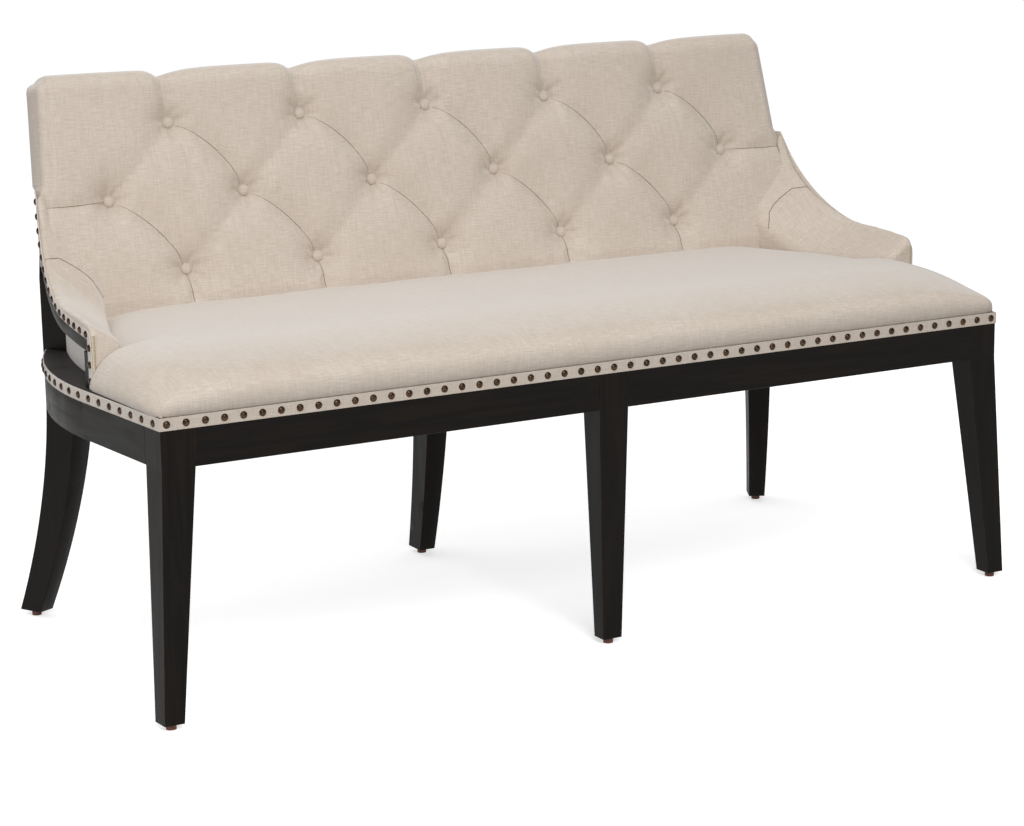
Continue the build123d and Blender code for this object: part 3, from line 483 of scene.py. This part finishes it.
def layShadeLines(name, settings, lines):
    # thin dark lines of painted shade along lines of places, with a share of the width left at their ends
    thinness = settings["thinness"]
    data = bpy.data.curves.new(name, "CURVE")
    data.dimensions = "3D"
    data.bevel_depth = settings["width"]
    data.bevel_resolution = settings["resolution"]
    for line in lines:
        spline = data.splines.new("POLY")
        spline.points.add(len(line) - 1)
        for k, spot in enumerate(line):
            spline.points[k].co = (*spot, 1)
            spline.points[k].radius = thinness + (1 - thinness) * math.sin(math.pi * k / (len(line) - 1))
    piece = addObject(name, data)
    data.materials.append(pleatShadeCloth)
    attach(piece, "root")


noiseSet = {"waves": 14, "slowest": 8, "fastest": 42, "turn": 6.28, "faintest": 0.3, "divisor": 6}


def gentleNoise(u, v, seed):
    # slow waves in chance directions, the same on each run
    waves = np.zeros(u.shape)
    source = np.random.default_rng(seed)
    for _ in range(noiseSet["waves"]):
        fu, fv = source.uniform(noiseSet["slowest"], noiseSet["fastest"], 2) * source.choice([-1, 1], 2)
        waves += np.sin(fu * u + fv * v + source.uniform(0, noiseSet["turn"])) * source.uniform(
            noiseSet["faintest"], 1)
    return waves / noiseSet["divisor"]


# Outer side of the arms in plan: straight, then bowed inward

armSet = {"half": 0.7585, "bowStart": -0.0651, "bow": 1.066, "gap": 0.0004}


def armSide(y):
    past = np.maximum(y - armSet["bowStart"], 0)
    return armSet["half"] - armSet["bow"] + np.sqrt(armSet["bow"] ** 2 - past ** 2)


# Tufted back: u runs across, v up the raked face and w out of it

backSet = {
    "originY": 0.25295, "originZ": 0.690, "rake": 12.7,
    "low": -0.195, "top": 0.203, "front": 0.027, "rear": -0.046,
    "half": 0.706, "halfTop": 0.690, "halfArm": 0.727, "halfLow": 0.664, "halfRear": 0.6655,
    "armEnd": 0.030, "footHigh": -0.080, "footLow": -0.121, "armSwell": 0.8,
    "topRoll": 0.026, "sideRoll": 0.016, "rearRoll": 0.010, "corner": 0.020,
    "postSlope": 0.52, "postGap": 0.001, "sideBulge": 0.004,  # the rear corners follow the turned posts
    "puff": 0.007, "ripple": 0.0006, "rippleSeed": 3,
    "sideFold": 0.02, "sideFade": 0.006, "rearFade": 0.02, "lowFade": 0.03, "lowLeast": 0.3, "topLift": 0.8,
    "spreadFrom": 0.713, "spreadRun": 0.02, "spread": 0.05,  # above the arms the back may be wider
    "step": 0.0026, "faceReach": 0.709, "rollReach": 0.001, "sideReach": 0.006, "sideReachStep": 0.002,
    "rearReach": 0.03, "rearRise": 0.003,
    "topSteps": 12, "rimSteps": 8, "rearSteps": 5, "rollSteps": 6, "sideSteps": 12,
}
tuftSet = {"pitch": 0.236, "rise": 0.120, "upperBow": 0.10, "lowerBow": 0.08, "topEnd": (-0.006, 0.27),
           "topBow": 0.05, "lowEnd": (0.002, -0.2), "sideEnd": (0.709, -0.004), "sideBow": -0.02,
           "blend": 4, "deepest": 0.0315}
# depth and width of each kind of fold, each with its change along the fold, on its two sides
foldSet = {
    "crisp": {"depth": (0.019, 0), "right": (0.017, 0), "left": (0.030, 0), "blunt": 0.002, "power": 1.15},
    "soft": {"depth": (0.006, 0.010), "right": (0.030, 0), "left": (0.030, 0), "blunt": 0, "power": 1.5},
    "top": {"depth": (0.021, -0.009), "right": (0.036, 0), "left": (0.009, 0.006), "blunt": 0.002,
            "power": 1.3},
    "low": {"depth": (0.017, 0), "right": (0.012, 0), "left": (0.022, 0), "blunt": 0.002, "power": 1.3},
    "side": {"depth": (0.015, -0.009), "right": (0.014, 0), "left": (0.014, 0), "blunt": 0.002,
             "power": 1.2},
}
dimpleSet = {"depth": 0.030, "flat": 0.009, "width": 0.024, "power": 1.25, "pucker": 0.10, "folds": 7,
             "turn": 40, "puckerAt": 0.022, "puckerWidth": 0.012}


def backHalf(v):
    # half width of the back at a height on its raked face
    b = backSet
    wide = b["half"] + (b["halfTop"] - b["half"]) * np.clip(v / b["top"], 0, 1)
    swell = np.clip((v - b["armEnd"]) / (b["footHigh"] - b["armEnd"]), 0, 1)
    wide = wide + (b["halfArm"] - b["half"]) * swell ** b["armSwell"]
    narrow = np.clip((b["footHigh"] - v) / (b["footHigh"] - b["footLow"]), 0, 1)
    return wide + (b["halfLow"] - wide) * narrow


def backPoint(u, v, w):
    lean = math.radians(backSet["rake"])
    return np.stack([u, backSet["originY"] + v * math.sin(lean) - w * math.cos(lean),
                     backSet["originZ"] + v * math.cos(lean) + w * math.sin(lean)], -1)


def bowedLine(start, end, bow=0.0, count=9):
    # points from start to end, bowed sideways by a share of the length
    start, end = np.array(start), np.array(end)
    side = np.array([-(end - start)[1], (end - start)[0]])
    shares = np.linspace(0, 1, count)[:, None]
    return start + (end - start) * shares + side * bow * 4 * shares * (1 - shares)


def makePleats():
    # the lines of the diamond pleats, and of the channels above, below and beside them
    t = tuftSet
    pitch, rise = t["pitch"], t["rise"]
    pleats = {kind: [] for kind in foldSet}
    for u in buttonRows[0]:
        pleats["crisp"].append(bowedLine((u, rise), (u + pitch / 2, 0), t["upperBow"]))
        pleats["crisp"].append(bowedLine((u - pitch / 2, 0), (u, -rise), t["lowerBow"]))
        pleats["soft"].append(bowedLine((u, rise), (u - pitch / 2, 0)))
        pleats["soft"].append(bowedLine((u + pitch / 2, 0), (u, -rise)))
        pleats["top"].append(bowedLine((u, rise), (u + t["topEnd"][0], t["topEnd"][1]), t["topBow"]))
        pleats["low"].append(bowedLine((u, -rise), (u + t["lowEnd"][0], t["lowEnd"][1])))
    for side in (-1, 1):
        start, end = (side * buttonRows[1][-1], 0.0), (side * t["sideEnd"][0], t["sideEnd"][1])
        pleats["side"].append(bowedLine(start, end, side * t["sideBow"]))
    return pleats


buttonRows = [[(k - (count - 1) / 2) * tuftSet["pitch"] for k in range(count)] for count in (5, 6, 5)]
buttonHeights = (tuftSet["rise"], 0.0, -tuftSet["rise"])
buttonSpots = [(u, v) for v, row in zip(buttonHeights, buttonRows) for u in row]
pleatLines = makePleats()


def lineDistance(u, v, line):
    # distance to a line, which side of it (positive to the right of its direction), and the share along it
    best, sideOf, share = np.full(u.shape, np.inf), np.zeros(u.shape), np.zeros(u.shape)
    for k in range(len(line) - 1):
        (u0, v0), (u1, v1) = line[k], line[k + 1]
        du, dv = u1 - u0, v1 - v0
        t = np.clip(((u - u0) * du + (v - v0) * dv) / (du * du + dv * dv), 0, 1)
        gapU, gapV = u - (u0 + t * du), v - (v0 + t * dv)
        gap = np.hypot(gapU, gapV)
        near = gap < best
        best = np.where(near, gap, best)
        sideOf = np.where(near, np.sign(gapU * dv - gapV * du), sideOf)
        share = np.where(near, (k + t) / (len(line) - 1), share)
    return best, sideOf, share


def foldDrop(u, v, line, kind):
    fold = foldSet[kind]
    gap, sideOf, share = lineDistance(u, v, line)
    if kind == "soft":  # deepest at both ends
        share = np.abs(share - 0.5) * 2
    depth, right, left = (fold[key][0] + fold[key][1] * share for key in ("depth", "right", "left"))
    width = np.where(sideOf > 0, right, left)
    return depth * np.exp(-(np.sqrt(gap ** 2 + fold["blunt"] ** 2) / width) ** fold["power"])


def dimpleDrop(u, v, spotU, spotV):
    d = dimpleSet
    away = np.hypot(u - spotU, v - spotV)
    angle = np.arctan2(v - spotV, u - spotU)
    ring = np.exp(-((away - d["puckerAt"]) / d["puckerWidth"]) ** 2)
    pucker = 1 + d["pucker"] * np.sin(d["folds"] * angle + spotU * d["turn"]) * ring
    return d["depth"] * pucker * np.exp(-(np.maximum(away - d["flat"], 0) / d["width"]) ** d["power"])


def tuftDrop(u, v):
    # how far the cover is drawn in from its fullest, at a place on the unrolled face
    drops = [foldDrop(u, v, line, kind) for kind, lines in pleatLines.items() for line in lines]
    drops += [dimpleDrop(u, v, spotU, spotV) for spotU, spotV in buttonSpots]
    total = sum(np.maximum(drop, 0) ** tuftSet["blend"] for drop in drops)
    return np.minimum(total ** (1 / tuftSet["blend"]), tuftSet["deepest"])


def backProfile():
    # height, depth, unrolled height and forward share of each row: up the face, over the top and behind
    b = backSet
    straight, rolledFront = b["top"] - b["topRoll"], b["front"] - b["topRoll"]
    faceRows = int((straight - b["low"]) / b["step"])
    profile = [(v, b["front"], v, 1.0) for v in np.linspace(b["low"], straight, faceRows)]
    for k in range(1, b["topSteps"] + 1):
        turn = k / b["topSteps"] * math.pi / 2
        profile.append((straight + b["topRoll"] * math.sin(turn), rolledFront + b["topRoll"] * math.cos(turn),
                        straight + b["topRoll"] * turn, math.cos(turn)))
    unrolled = profile[-1][2]
    for k in range(1, b["rimSteps"] + 1):
        w = rolledFront - k / b["rimSteps"] * (rolledFront - b["rear"] - b["rearRoll"])
        profile.append((b["top"], w, unrolled + (rolledFront - w), 0.0))
    for k in range(1, b["rearSteps"] + 1):
        turn = k / b["rearSteps"] * math.pi / 2
        profile.append((b["top"] - b["rearRoll"] * (1 - math.cos(turn)),
                        b["rear"] + b["rearRoll"] * (1 - math.sin(turn)),
                        profile[-1][2] + b["rearRise"], -math.sin(turn)))
    return profile


def backRow(v):
    # places across one row, how far each lies behind the face, and its reach on the unrolled cover
    b = backSet
    wide = float(backHalf(np.array(v)))
    half = int(b["faceReach"] / b["step"])
    flat = np.linspace(0, wide - b["sideRoll"], half)
    u, drop, reach = list(flat), [0.0] * half, list(flat)
    for k in range(1, b["rollSteps"] + 1):
        turn = k / b["rollSteps"] * math.pi / 2
        u.append(wide - b["sideRoll"] * (1 - math.sin(turn)))
        drop.append(b["sideRoll"] * (1 - math.cos(turn)))
        reach.append(wide + b["rollReach"] * k)
    deep = b["front"] - b["rear"]
    wedge = max(wide - b["halfRear"], 0.0) * b["postSlope"]
    for k in range(1, b["sideSteps"] + 1):
        share = k / b["sideSteps"]
        u.append(wide + b["sideBulge"] * math.sin(share * math.pi))
        drop.append(b["sideRoll"] + share * (deep - wedge - b["sideRoll"]))
        reach.append(wide + b["sideReach"] + b["sideReachStep"] * k)
    for k in range(1, b["rearSteps"] + 1):
        share = k / b["rearSteps"]
        u.append(wide + (min(b["halfRear"], wide) - wide) * share)
        drop.append(deep - wedge * (1 - share))
        reach.append(wide + b["rearReach"])
    u, drop, reach = np.array(u), np.array(drop), np.array(reach)
    return (np.concatenate([-u[:0:-1], u]), np.concatenate([drop[:0:-1], drop]),
            np.concatenate([-reach[:0:-1], reach]))


def roundCorners(u, v):
    # the top corners of the back, rounded as seen from the front
    b = backSet
    sideways, upward = backHalf(v) - b["corner"], b["top"] - b["corner"]
    du, dv = (np.abs(u) - sideways) / b["corner"], (v - upward) / b["corner"]
    outer = (du > 0) & (dv > 0)
    roundU = np.sign(u) * (sideways + b["corner"] * du * np.sqrt(1 - np.clip(dv, 0, 1) ** 2 / 2))
    roundV = upward + b["corner"] * dv * np.sqrt(1 - np.clip(du, 0, 1) ** 2 / 2)
    return np.where(outer, roundU, u), np.where(outer, roundV, v)


def makeBack():
    b = backSet
    rows = []
    for v, w, rolled, facing in backProfile():
        u, drop, reach = backRow(v)
        rows.append((u, np.full(u.shape, v), np.maximum(w - drop, b["rear"]), reach,
                     np.full(u.shape, rolled), np.full(u.shape, facing)))
    u, v, w, reach, rolled, facing = (np.array([row[k] for row in rows]) for k in range(6))
    turned = b["halfRear"] + (w - b["rear"]) / b["postSlope"] + b["postGap"]
    u, v = roundCorners(np.clip(u, -turned, turned), v)
    # the cover puffs out between the pleats and calms down towards its side folds, foot and rear
    pastSide = np.abs(reach) - backHalf(v)
    puff = b["puff"] + b["ripple"] * gentleNoise(reach, rolled, b["rippleSeed"])
    lift = puff * np.clip(-pastSide / b["sideFold"], 0, 1) - tuftDrop(reach, rolled)
    lift = lift * np.clip(1 - pastSide / b["sideFade"], 0, 1)
    low = np.clip((rolled - b["low"]) / b["lowFade"], b["lowLeast"], 1)
    rearward = np.clip((w - b["rear"]) / b["rearFade"], 0, 1)
    w = w + lift * np.maximum(facing, 0) * low
    v = v + lift * np.sqrt(np.maximum(1 - facing ** 2, 0)) * rearward * b["topLift"]
    spots = backPoint(u, v, w)
    spread = b["spread"] * np.clip((spots[..., 2] - b["spreadFrom"]) / b["spreadRun"], 0, 1) ** 2
    limit = armSide(spots[..., 1]) - armSet["gap"] + spread
    spots[..., 0] = np.clip(spots[..., 0], -limit, limit)
    piece = makePiece("tuftedBack", gridMesh("tuftedBack", spots), linen, "linen", ("back_cushion",))
    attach(piece, "root")


makeBack()


# Covered buttons, and the thin dark line of painted shade in each crisp pleat

buttonSet = {"radius": 0.0098, "flatness": 0.62, "depth": 0.004, "segments": 24, "rings": 14}
pleatLineSet = {"width": 0.0006, "thinness": 0.35, "resolution": 2, "start": 0.08, "end": 0.95,
                "points": 60, "away": 0.1, "proud": 0.0002, "kinds": ("crisp", "low", "side")}


def makeButtons():
    meshes = bmesh.new()
    tilt = Matrix.Rotation(math.radians(90 - backSet["rake"]), 4, "X")
    flat = Matrix.Diagonal((1, 1, buttonSet["flatness"], 1))
    for u, v in buttonSpots:
        centre = Vector(backPoint(np.array(u), np.array(v), np.array(buttonSet["depth"])).tolist())
        made = bmesh.ops.create_uvsphere(meshes, u_segments=buttonSet["segments"],
                                         v_segments=buttonSet["rings"], radius=buttonSet["radius"])
        bmesh.ops.transform(meshes, matrix=Matrix.Translation(centre) @ tilt @ flat, verts=made["verts"])
    mesh = bpy.data.meshes.new("coveredButtons")
    meshes.to_mesh(mesh)
    meshes.free()
    mesh.shade_smooth()
    piece = makePiece("coveredButtons", mesh, linen, "linen", ("back_buttons",))
    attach(piece, "root")


def makePleatLines():
    p = pleatLineSet
    tree = meshTree("tuftedBack")
    lean = math.radians(backSet["rake"])
    inward = Vector((0, math.cos(lean), -math.sin(lean)))
    shares = np.linspace(p["start"], p["end"], p["points"])
    lines = []
    for kind in p["kinds"]:
        for line in pleatLines[kind]:
            along = np.linspace(0, 1, len(line))
            u, v = np.interp(shares, along, line[:, 0]), np.interp(shares, along, line[:, 1])
            starts = backPoint(u, v, np.full(u.shape, p["away"]))
            found = [tree.ray_cast(Vector(start.tolist()), inward)[0] for start in starts]
            lines.append([spot - inward * p["proud"] for spot in found if spot])
    layShadeLines("pleatLines", p, lines)


makeButtons()
makePleatLines()
print("back made")


# Seat cover: rolls are given as distance in from the edge and height above the deck

seatSet = {
    "front": -0.34255, "half": 0.7515, "flare": 0.0490, "base": 0.4602,
    "armFront": -0.1036, "armInner": 0.7165, "armTurn": 14.8, "tuck": 0.010,
    "frontRoll": ((0, 0), (-0.004, 0.008), (-0.005, 0.020), (-0.002, 0.031), (0.006, 0.040), (0.020, 0.048),
                  (0.048, 0.058), (0.084, 0.068), (0.118, 0.076), (0.150, 0.0805), (0.190, 0.0825),
                  (0.260, 0.083), (0.400, 0.079), (0.5575, 0.064)),
    "sideRoll": ((0, 0), (-0.003, 0.008), (-0.001, 0.019), (0.008, 0.034), (0.023, 0.051), (0.045, 0.064),
                 (0.070, 0.073), (0.105, 0.079), (0.160, 0.082), (0.260, 0.084), (0.760, 0.085)),
    "corner": 0.026, "cornerSpan": 1.3, "cornerRound": 2.9, "cornerDrop": 0.30, "cornerReach": 0.085,
    "evenFrom": 0.05, "evenRun": 0.25, "evenHalf": 0.76, "blend": 5.0, "least": 1e-5,
    "wave": 0.0011, "waveSeed": 11, "calmBelow": 0.05,
    "step": 0.007, "fineRun": 0.055, "finePoints": 20, "cuts": 3,
}


def cutCorners(points, rounds):
    # smooths a profile by cutting its corners, keeping both ends
    points = np.array(points, float)
    for _ in range(rounds):
        near = points[:-1] * 0.75 + points[1:] * 0.25
        far = points[:-1] * 0.25 + points[1:] * 0.75
        middle = np.stack([near, far], 1).reshape(-1, 2)
        points = np.concatenate([points[:1], middle, points[-1:]])
    return points


def evenProfile(points):
    # the profile sampled along itself, finely at its edge and evenly from there on
    s = seatSet
    points = cutCorners(points, s["cuts"])
    lengths = np.concatenate([[0], np.cumsum(np.hypot(*np.diff(points, axis=0).T))])
    places = np.concatenate([np.linspace(0, s["fineRun"], s["finePoints"]),
                             np.arange(s["fineRun"] + s["step"], lengths[-1], s["step"]), [lengths[-1]]])
    return np.interp(places, lengths, points[:, 0]), np.interp(places, lengths, points[:, 1])


def roundSeatCorners(x, y):
    # the front corners, rounded in plan
    s = seatSet
    radius = s["corner"]
    for sign in (-1, 1):
        cornerX, cornerY = sign * (s["half"] - radius), s["front"] + radius
        dx, dy = (x - cornerX) * sign / radius, (cornerY - y) / radius
        outer = (dx > 0) & (dy > 0)
        cx, cy = np.clip(dx, 0, s["cornerSpan"]), np.clip(dy, 0, s["cornerSpan"])
        shortX = np.sqrt(np.maximum(1 - cy ** 2 / s["cornerRound"], 0))
        shortY = np.sqrt(np.maximum(1 - cx ** 2 / s["cornerRound"], 0))
        x = np.where(outer, cornerX + sign * radius * cx * shortX, x)
        y = np.where(outer, cornerY - radius * cy * shortY, y)
    return x, y


def makeSeat():
    s = seatSet
    inset, sideRise = evenProfile(s["sideRoll"])
    into, frontRise = evenProfile(s["frontRoll"])
    sign = np.concatenate([-np.ones(len(inset) - 1), [0], np.ones(len(inset) - 1)])[None, :]
    nearSide = np.concatenate([inset, inset[-2::-1]])[None, :]
    sideRise = np.concatenate([sideRise, sideRise[-2::-1]])[None, :]
    y = s["front"] + into
    inner = s["armInner"] - (y - s["armFront"]) * math.tan(math.radians(s["armTurn"])) + s["tuck"]
    half = np.where(y > s["armFront"], inner, s["half"] + s["flare"] * (y - s["front"]))[:, None]
    # columns keep their distance from the edge, so the roll has one size along the whole side
    fade = np.clip((nearSide - s["evenFrom"]) / s["evenRun"], 0, 1)
    kept, spread = half - nearSide, half - nearSide * half / s["evenHalf"]
    x = sign * (kept * (1 - fade) + spread * fade)
    height = ((frontRise[:, None] + s["least"]) ** -s["blend"]
              + (sideRise + s["least"]) ** -s["blend"]) ** (-1 / s["blend"])
    x, y = roundSeatCorners(x, np.repeat(y[:, None], x.shape[1], 1))
    # the cover is drawn down at the front corners
    away = np.hypot(s["half"] - np.abs(x), y - s["front"]) / s["cornerReach"]
    height = height * (1 - s["cornerDrop"] * np.exp(-away ** 2))
    calm = np.clip(height / s["calmBelow"], 0, 1)
    height = height + s["wave"] * gentleNoise(x, y, s["waveSeed"]) * calm
    mesh = gridMesh("seatCover", np.stack([x, y, s["base"] + height], -1)[:, ::-1])
    piece = makePiece("seatCover", mesh, linen, "linen", ("seat_cushion",))
    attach(piece, "root")


makeSeat()
print("seat made")


# Arm covers, the seams that join them to the back, and the cover of the outside back

padSet = {"voxel": 0.0030, "rounds": 14, "relax": 0.6, "thicken": 0.0022, "swell": 0.001,
          "base": 0.4602, "front": -0.1046, "top": 0.712, "stretchFrom": 0.640,
          "ripple": 0.0008, "rippleFrom": 0.53, "rippleScale": 2, "rippleSeed": 5}
rearSet = {"voxel": 0.004, "rounds": 6, "relax": 0.6, "thicken": 0.0}
seamSet = {"width": 0.0007, "thinness": 1.0, "resolution": 4, "points": 60, "route": (
    (0.7289, 0.1703, 0.6186), (0.7200, 0.1725, 0.6195), (0.7036, 0.1815, 0.6178), (0.6907, 0.1822, 0.6104),
    (0.6759, 0.1828, 0.6009), (0.6618, 0.1821, 0.5900), (0.6504, 0.1785, 0.5782), (0.6445, 0.1700, 0.5644),
    (0.6386, 0.1648, 0.5500))}


def makeArm(side):
    p = padSet
    arm = softCopy("arm_pad_" + side, "armCover." + side, p)
    spots = readVerts(arm.data, "co") + readVerts(arm.data, "normal") * p["swell"]
    highest = spots[:, 2].max()
    upper = np.clip((spots[:, 2] - p["stretchFrom"]) / (highest - p["stretchFrom"]), 0, 1)
    spots[:, 2] += (p["top"] - highest) * upper ** 2
    ripple = gentleNoise(spots[:, 0] * p["rippleScale"], spots[:, 1] * p["rippleScale"], p["rippleSeed"])
    spots[:, 2] += p["ripple"] * ripple * (spots[:, 2] > p["rippleFrom"])
    limit = armSide(spots[:, 1]) - armSet["gap"]
    spots[:, 0] = np.clip(spots[:, 0], -limit, limit)
    spots[:, 1] = np.maximum(spots[:, 1], p["front"])
    spots[:, 2] = np.maximum(spots[:, 2], p["base"])
    arm.data.vertices.foreach_set("co", spots.reshape(-1))
    arm.data.update()
    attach(arm, "root")


# the seam where each arm meets the back, drawn as a thin dark line, partly painted shade of the join
def makeArmSeams():
    route = np.array(seamSet["route"])
    along = np.linspace(0, len(route) - 1, seamSet["points"])
    line = np.stack([np.interp(along, np.arange(len(route)), route[:, k]) for k in range(3)], -1)
    lines = []
    for name, sign in (("armCover.left", -1), ("armCover.right", 1)):
        tree = meshTree(name)
        lines.append([tree.find_nearest(Vector(spot.tolist()))[0] for spot in line * (sign, 1, 1)])
    layShadeLines("armSeams", seamSet, lines)


for side in ("left", "right"):
    makeArm(side)
makeArmSeams()
rear = softCopy("outside_back", "rearCover", rearSet)
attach(rear, "root")
print("arms and outside back made")


# Bands, panels, webbing, dust cover and welts

# piece name, material, slot, soft edge, cloth thickness, cut width and what it is stretched over
trimSet = {"front_band": ("frontBand", linen, "band_fabric", 0.0006, 0.0015, 0.019, ["seat_deck"]),
           "dust_cover": ("dustCover", coverCloth, "dust_cloth", 0.0002, 0.0008, 0.600, ["front_rail_left"]),
           "back_webbing": ("backWebbing", webCloth, "webbing", 0.0003, 0.0015, 0.050, ["back_top_rail"])}
for side in ("left", "right"):
    trimSet["side_band_" + side] = ("sideBand." + side, bandCloth, "band_fabric", 0.0006, 0.0015, 0.019,
                                    ["seat_deck"])
    trimSet["arm_band_" + side] = ("armBand." + side, bandCloth, "band_fabric", 0.0006, 0.0015, 0.014,
                                   ["armCover." + side])
    trimSet["arm_panel_" + side] = ("armPanel." + side, panelCloth, "panel_fabric", 0.001, 0.004, 0.080,
                                    ["arm_post_" + side])
weltEdge = 0.0004


def declareSheet(piece, thick, width, rests):
    # the cut size, from the volume and the cloth's thickness
    worker = bmesh.new()
    worker.from_mesh(piece.data)
    bmesh.ops.remove_doubles(worker, verts=worker.verts, dist=weldDistance)
    area = abs(worker.calc_volume()) / thick
    worker.free()
    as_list(rests)


for node, (name, material, slotName, edge, thick, width, rests) in trimSet.items():
    declareSheet(roundedCopy(node, name, material, slotName, edge), thick, width, rests)
for side in ("left", "right"):
    roundedCopy("arm_welt_" + side, "armWelt." + side, weltCloth, "welt_fabric", weltEdge)
print("trim made")


# Domed nails, each in place of a faceted one

nailSet = {"radius": 0.0056, "height": 0.0033, "sides": 20, "rings": 6, "footGap": 0.0003}
nailRuns = {"front_nails": "frontNails", "side_nails_left": "sideNails.left",
            "side_nails_right": "sideNails.right", "arm_nails_left": "armNails.left",
            "arm_nails_right": "armNails.right"}


def looseParts(source):
    # the joined groups of corners of a mesh, always in one order
    seen = set()
    for first in source.verts:
        if first in seen:
            continue
        seen.add(first)
        group = [first]
        for vert in group:
            for link in vert.link_edges:
                other = link.other_vert(vert)
                if other not in seen:
                    seen.add(other)
                    group.append(other)
        yield group


def nailPlace(group):
    # the middle of a nail's foot, turned so that its dome points outward
    base = max([face for vert in group for face in vert.link_faces], key=lambda face: face.calc_area())
    corner = base.verts[0].co
    outward = (sum((vert.co for vert in group), Vector()) / len(group) - corner).project(base.normal)
    outward.normalize()
    foot = [vert.co for vert in group if abs((vert.co - corner).dot(outward)) < nailSet["footGap"]]
    turn = outward.to_track_quat("Z", "Y").to_matrix().to_4x4()
    return Matrix.Translation(sum(foot, Vector()) / len(foot)) @ turn


def addDome(made, place):
    rings = []
    for ring in range(nailSet["rings"] + 1):
        rise = ring / nailSet["rings"] * math.pi / 2
        radius, height = nailSet["radius"] * math.cos(rise), nailSet["height"] * math.sin(rise)
        count = 1 if ring == nailSet["rings"] else nailSet["sides"]
        angles = [2 * math.pi * k / count for k in range(count)]
        corners = [Vector((radius * math.cos(angle), radius * math.sin(angle), height)) for angle in angles]
        rings.append([made.verts.new(place @ corner) for corner in corners])
    made.faces.new(rings[0][::-1])
    for low, high in zip(rings[:-1], rings[1:]):
        for k in range(len(low)):
            after = (k + 1) % len(low)
            upper = high if len(high) == 1 else (high[after], high[k])
            made.faces.new((low[k], low[after], *upper))


def makeNails(node, name):
    source = bmesh.new()
    source.from_mesh(nodes[node].data)
    bmesh.ops.remove_doubles(source, verts=source.verts, dist=weldDistance)
    made = bmesh.new()
    for group in looseParts(source):
        addDome(made, nailPlace(group))
    source.free()
    mesh = bpy.data.meshes.new(name)
    made.to_mesh(mesh)
    made.free()
    mesh.shade_smooth()
    piece = makePiece(name, mesh, bronze, "bronze_nails", (node,))
    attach(piece, "root")


for node, name in nailRuns.items():
    makeNails(node, name)
print("nails made")


# Floor, sky and lamps

roomSet = {"size": 16.0, "floor": 0.22, "seen": 1.0, "glow": 0.55, "roughness": 0.95,
           "sky": 0.46, "bright": 1.06, "aim": (0, 0, 0.5)}
lampSet = {"keyLamp": {"place": (-1.1, -3.9, 2.9), "power": 128.0, "size": 2.2},
           "leftLamp": {"place": (-2.2, -0.5, 0.40), "power": 7.0, "size": 0.9},
           "topLamp": {"place": (-0.6, 0.4, 3.2), "power": 18.0, "size": 2.4}}


def makeStageMaterial():
    # plain paper, white to the eye and in reflections, but darker where it throws light back
    material, tree, shader = startMaterial("paperSweep", {
        "Roughness": roomSet["roughness"], "Specular IOR Level": 0.0, "Emission Color": white})
    paths = addNode(tree, "ShaderNodeLightPath")
    seen = doMath(tree, "MAXIMUM", paths.outputs["Is Camera Ray"], paths.outputs["Is Glossy Ray"])
    tone = mixValues(tree, seen, roomSet["floor"], roomSet["seen"])
    tree.links.new(tone, shader.inputs["Base Color"])
    tree.links.new(doMath(tree, "MULTIPLY", seen, roomSet["glow"]), shader.inputs["Emission Strength"])
    return material


def makeStage():
    size = roomSet["size"]
    corners = [(-size, -size, 0), (size, -size, 0), (size, size, 0), (-size, size, 0)]
    mesh = bpy.data.meshes.new("paperFloor")
    mesh.from_pydata(corners, [], [(0, 1, 2, 3)])
    floor = addObject("paperFloor", mesh)
    mesh.materials.append(makeStageMaterial())


def makeWorld():
    world = bpy.data.worlds.new("softRoom")
    world.use_nodes = True
    bpy.context.scene.world = world
    tree = world.node_tree
    paths = addNode(tree, "ShaderNodeLightPath")
    strength = mixValues(tree, paths.outputs["Is Camera Ray"], roomSet["sky"], roomSet["bright"])
    background = tree.nodes["Background"]
    background.inputs["Color"].default_value = white
    tree.links.new(strength, background.inputs["Strength"])


def addLamp(name, settings):
    data = bpy.data.lights.new(name, "AREA")
    data.energy = settings["power"]
    data.size = settings["size"]
    lamp = addObject(name, data)
    lamp.location = settings["place"]
    aim = Vector(roomSet["aim"]) - Vector(settings["place"])
    lamp.rotation_euler = aim.to_track_quat("-Z", "Y").to_euler()


makeStage()
makeWorld()
for name, settings in lampSet.items():
    addLamp(name, settings)
bpy.context.scene.view_settings.view_transform = "Standard"

print("scene made")
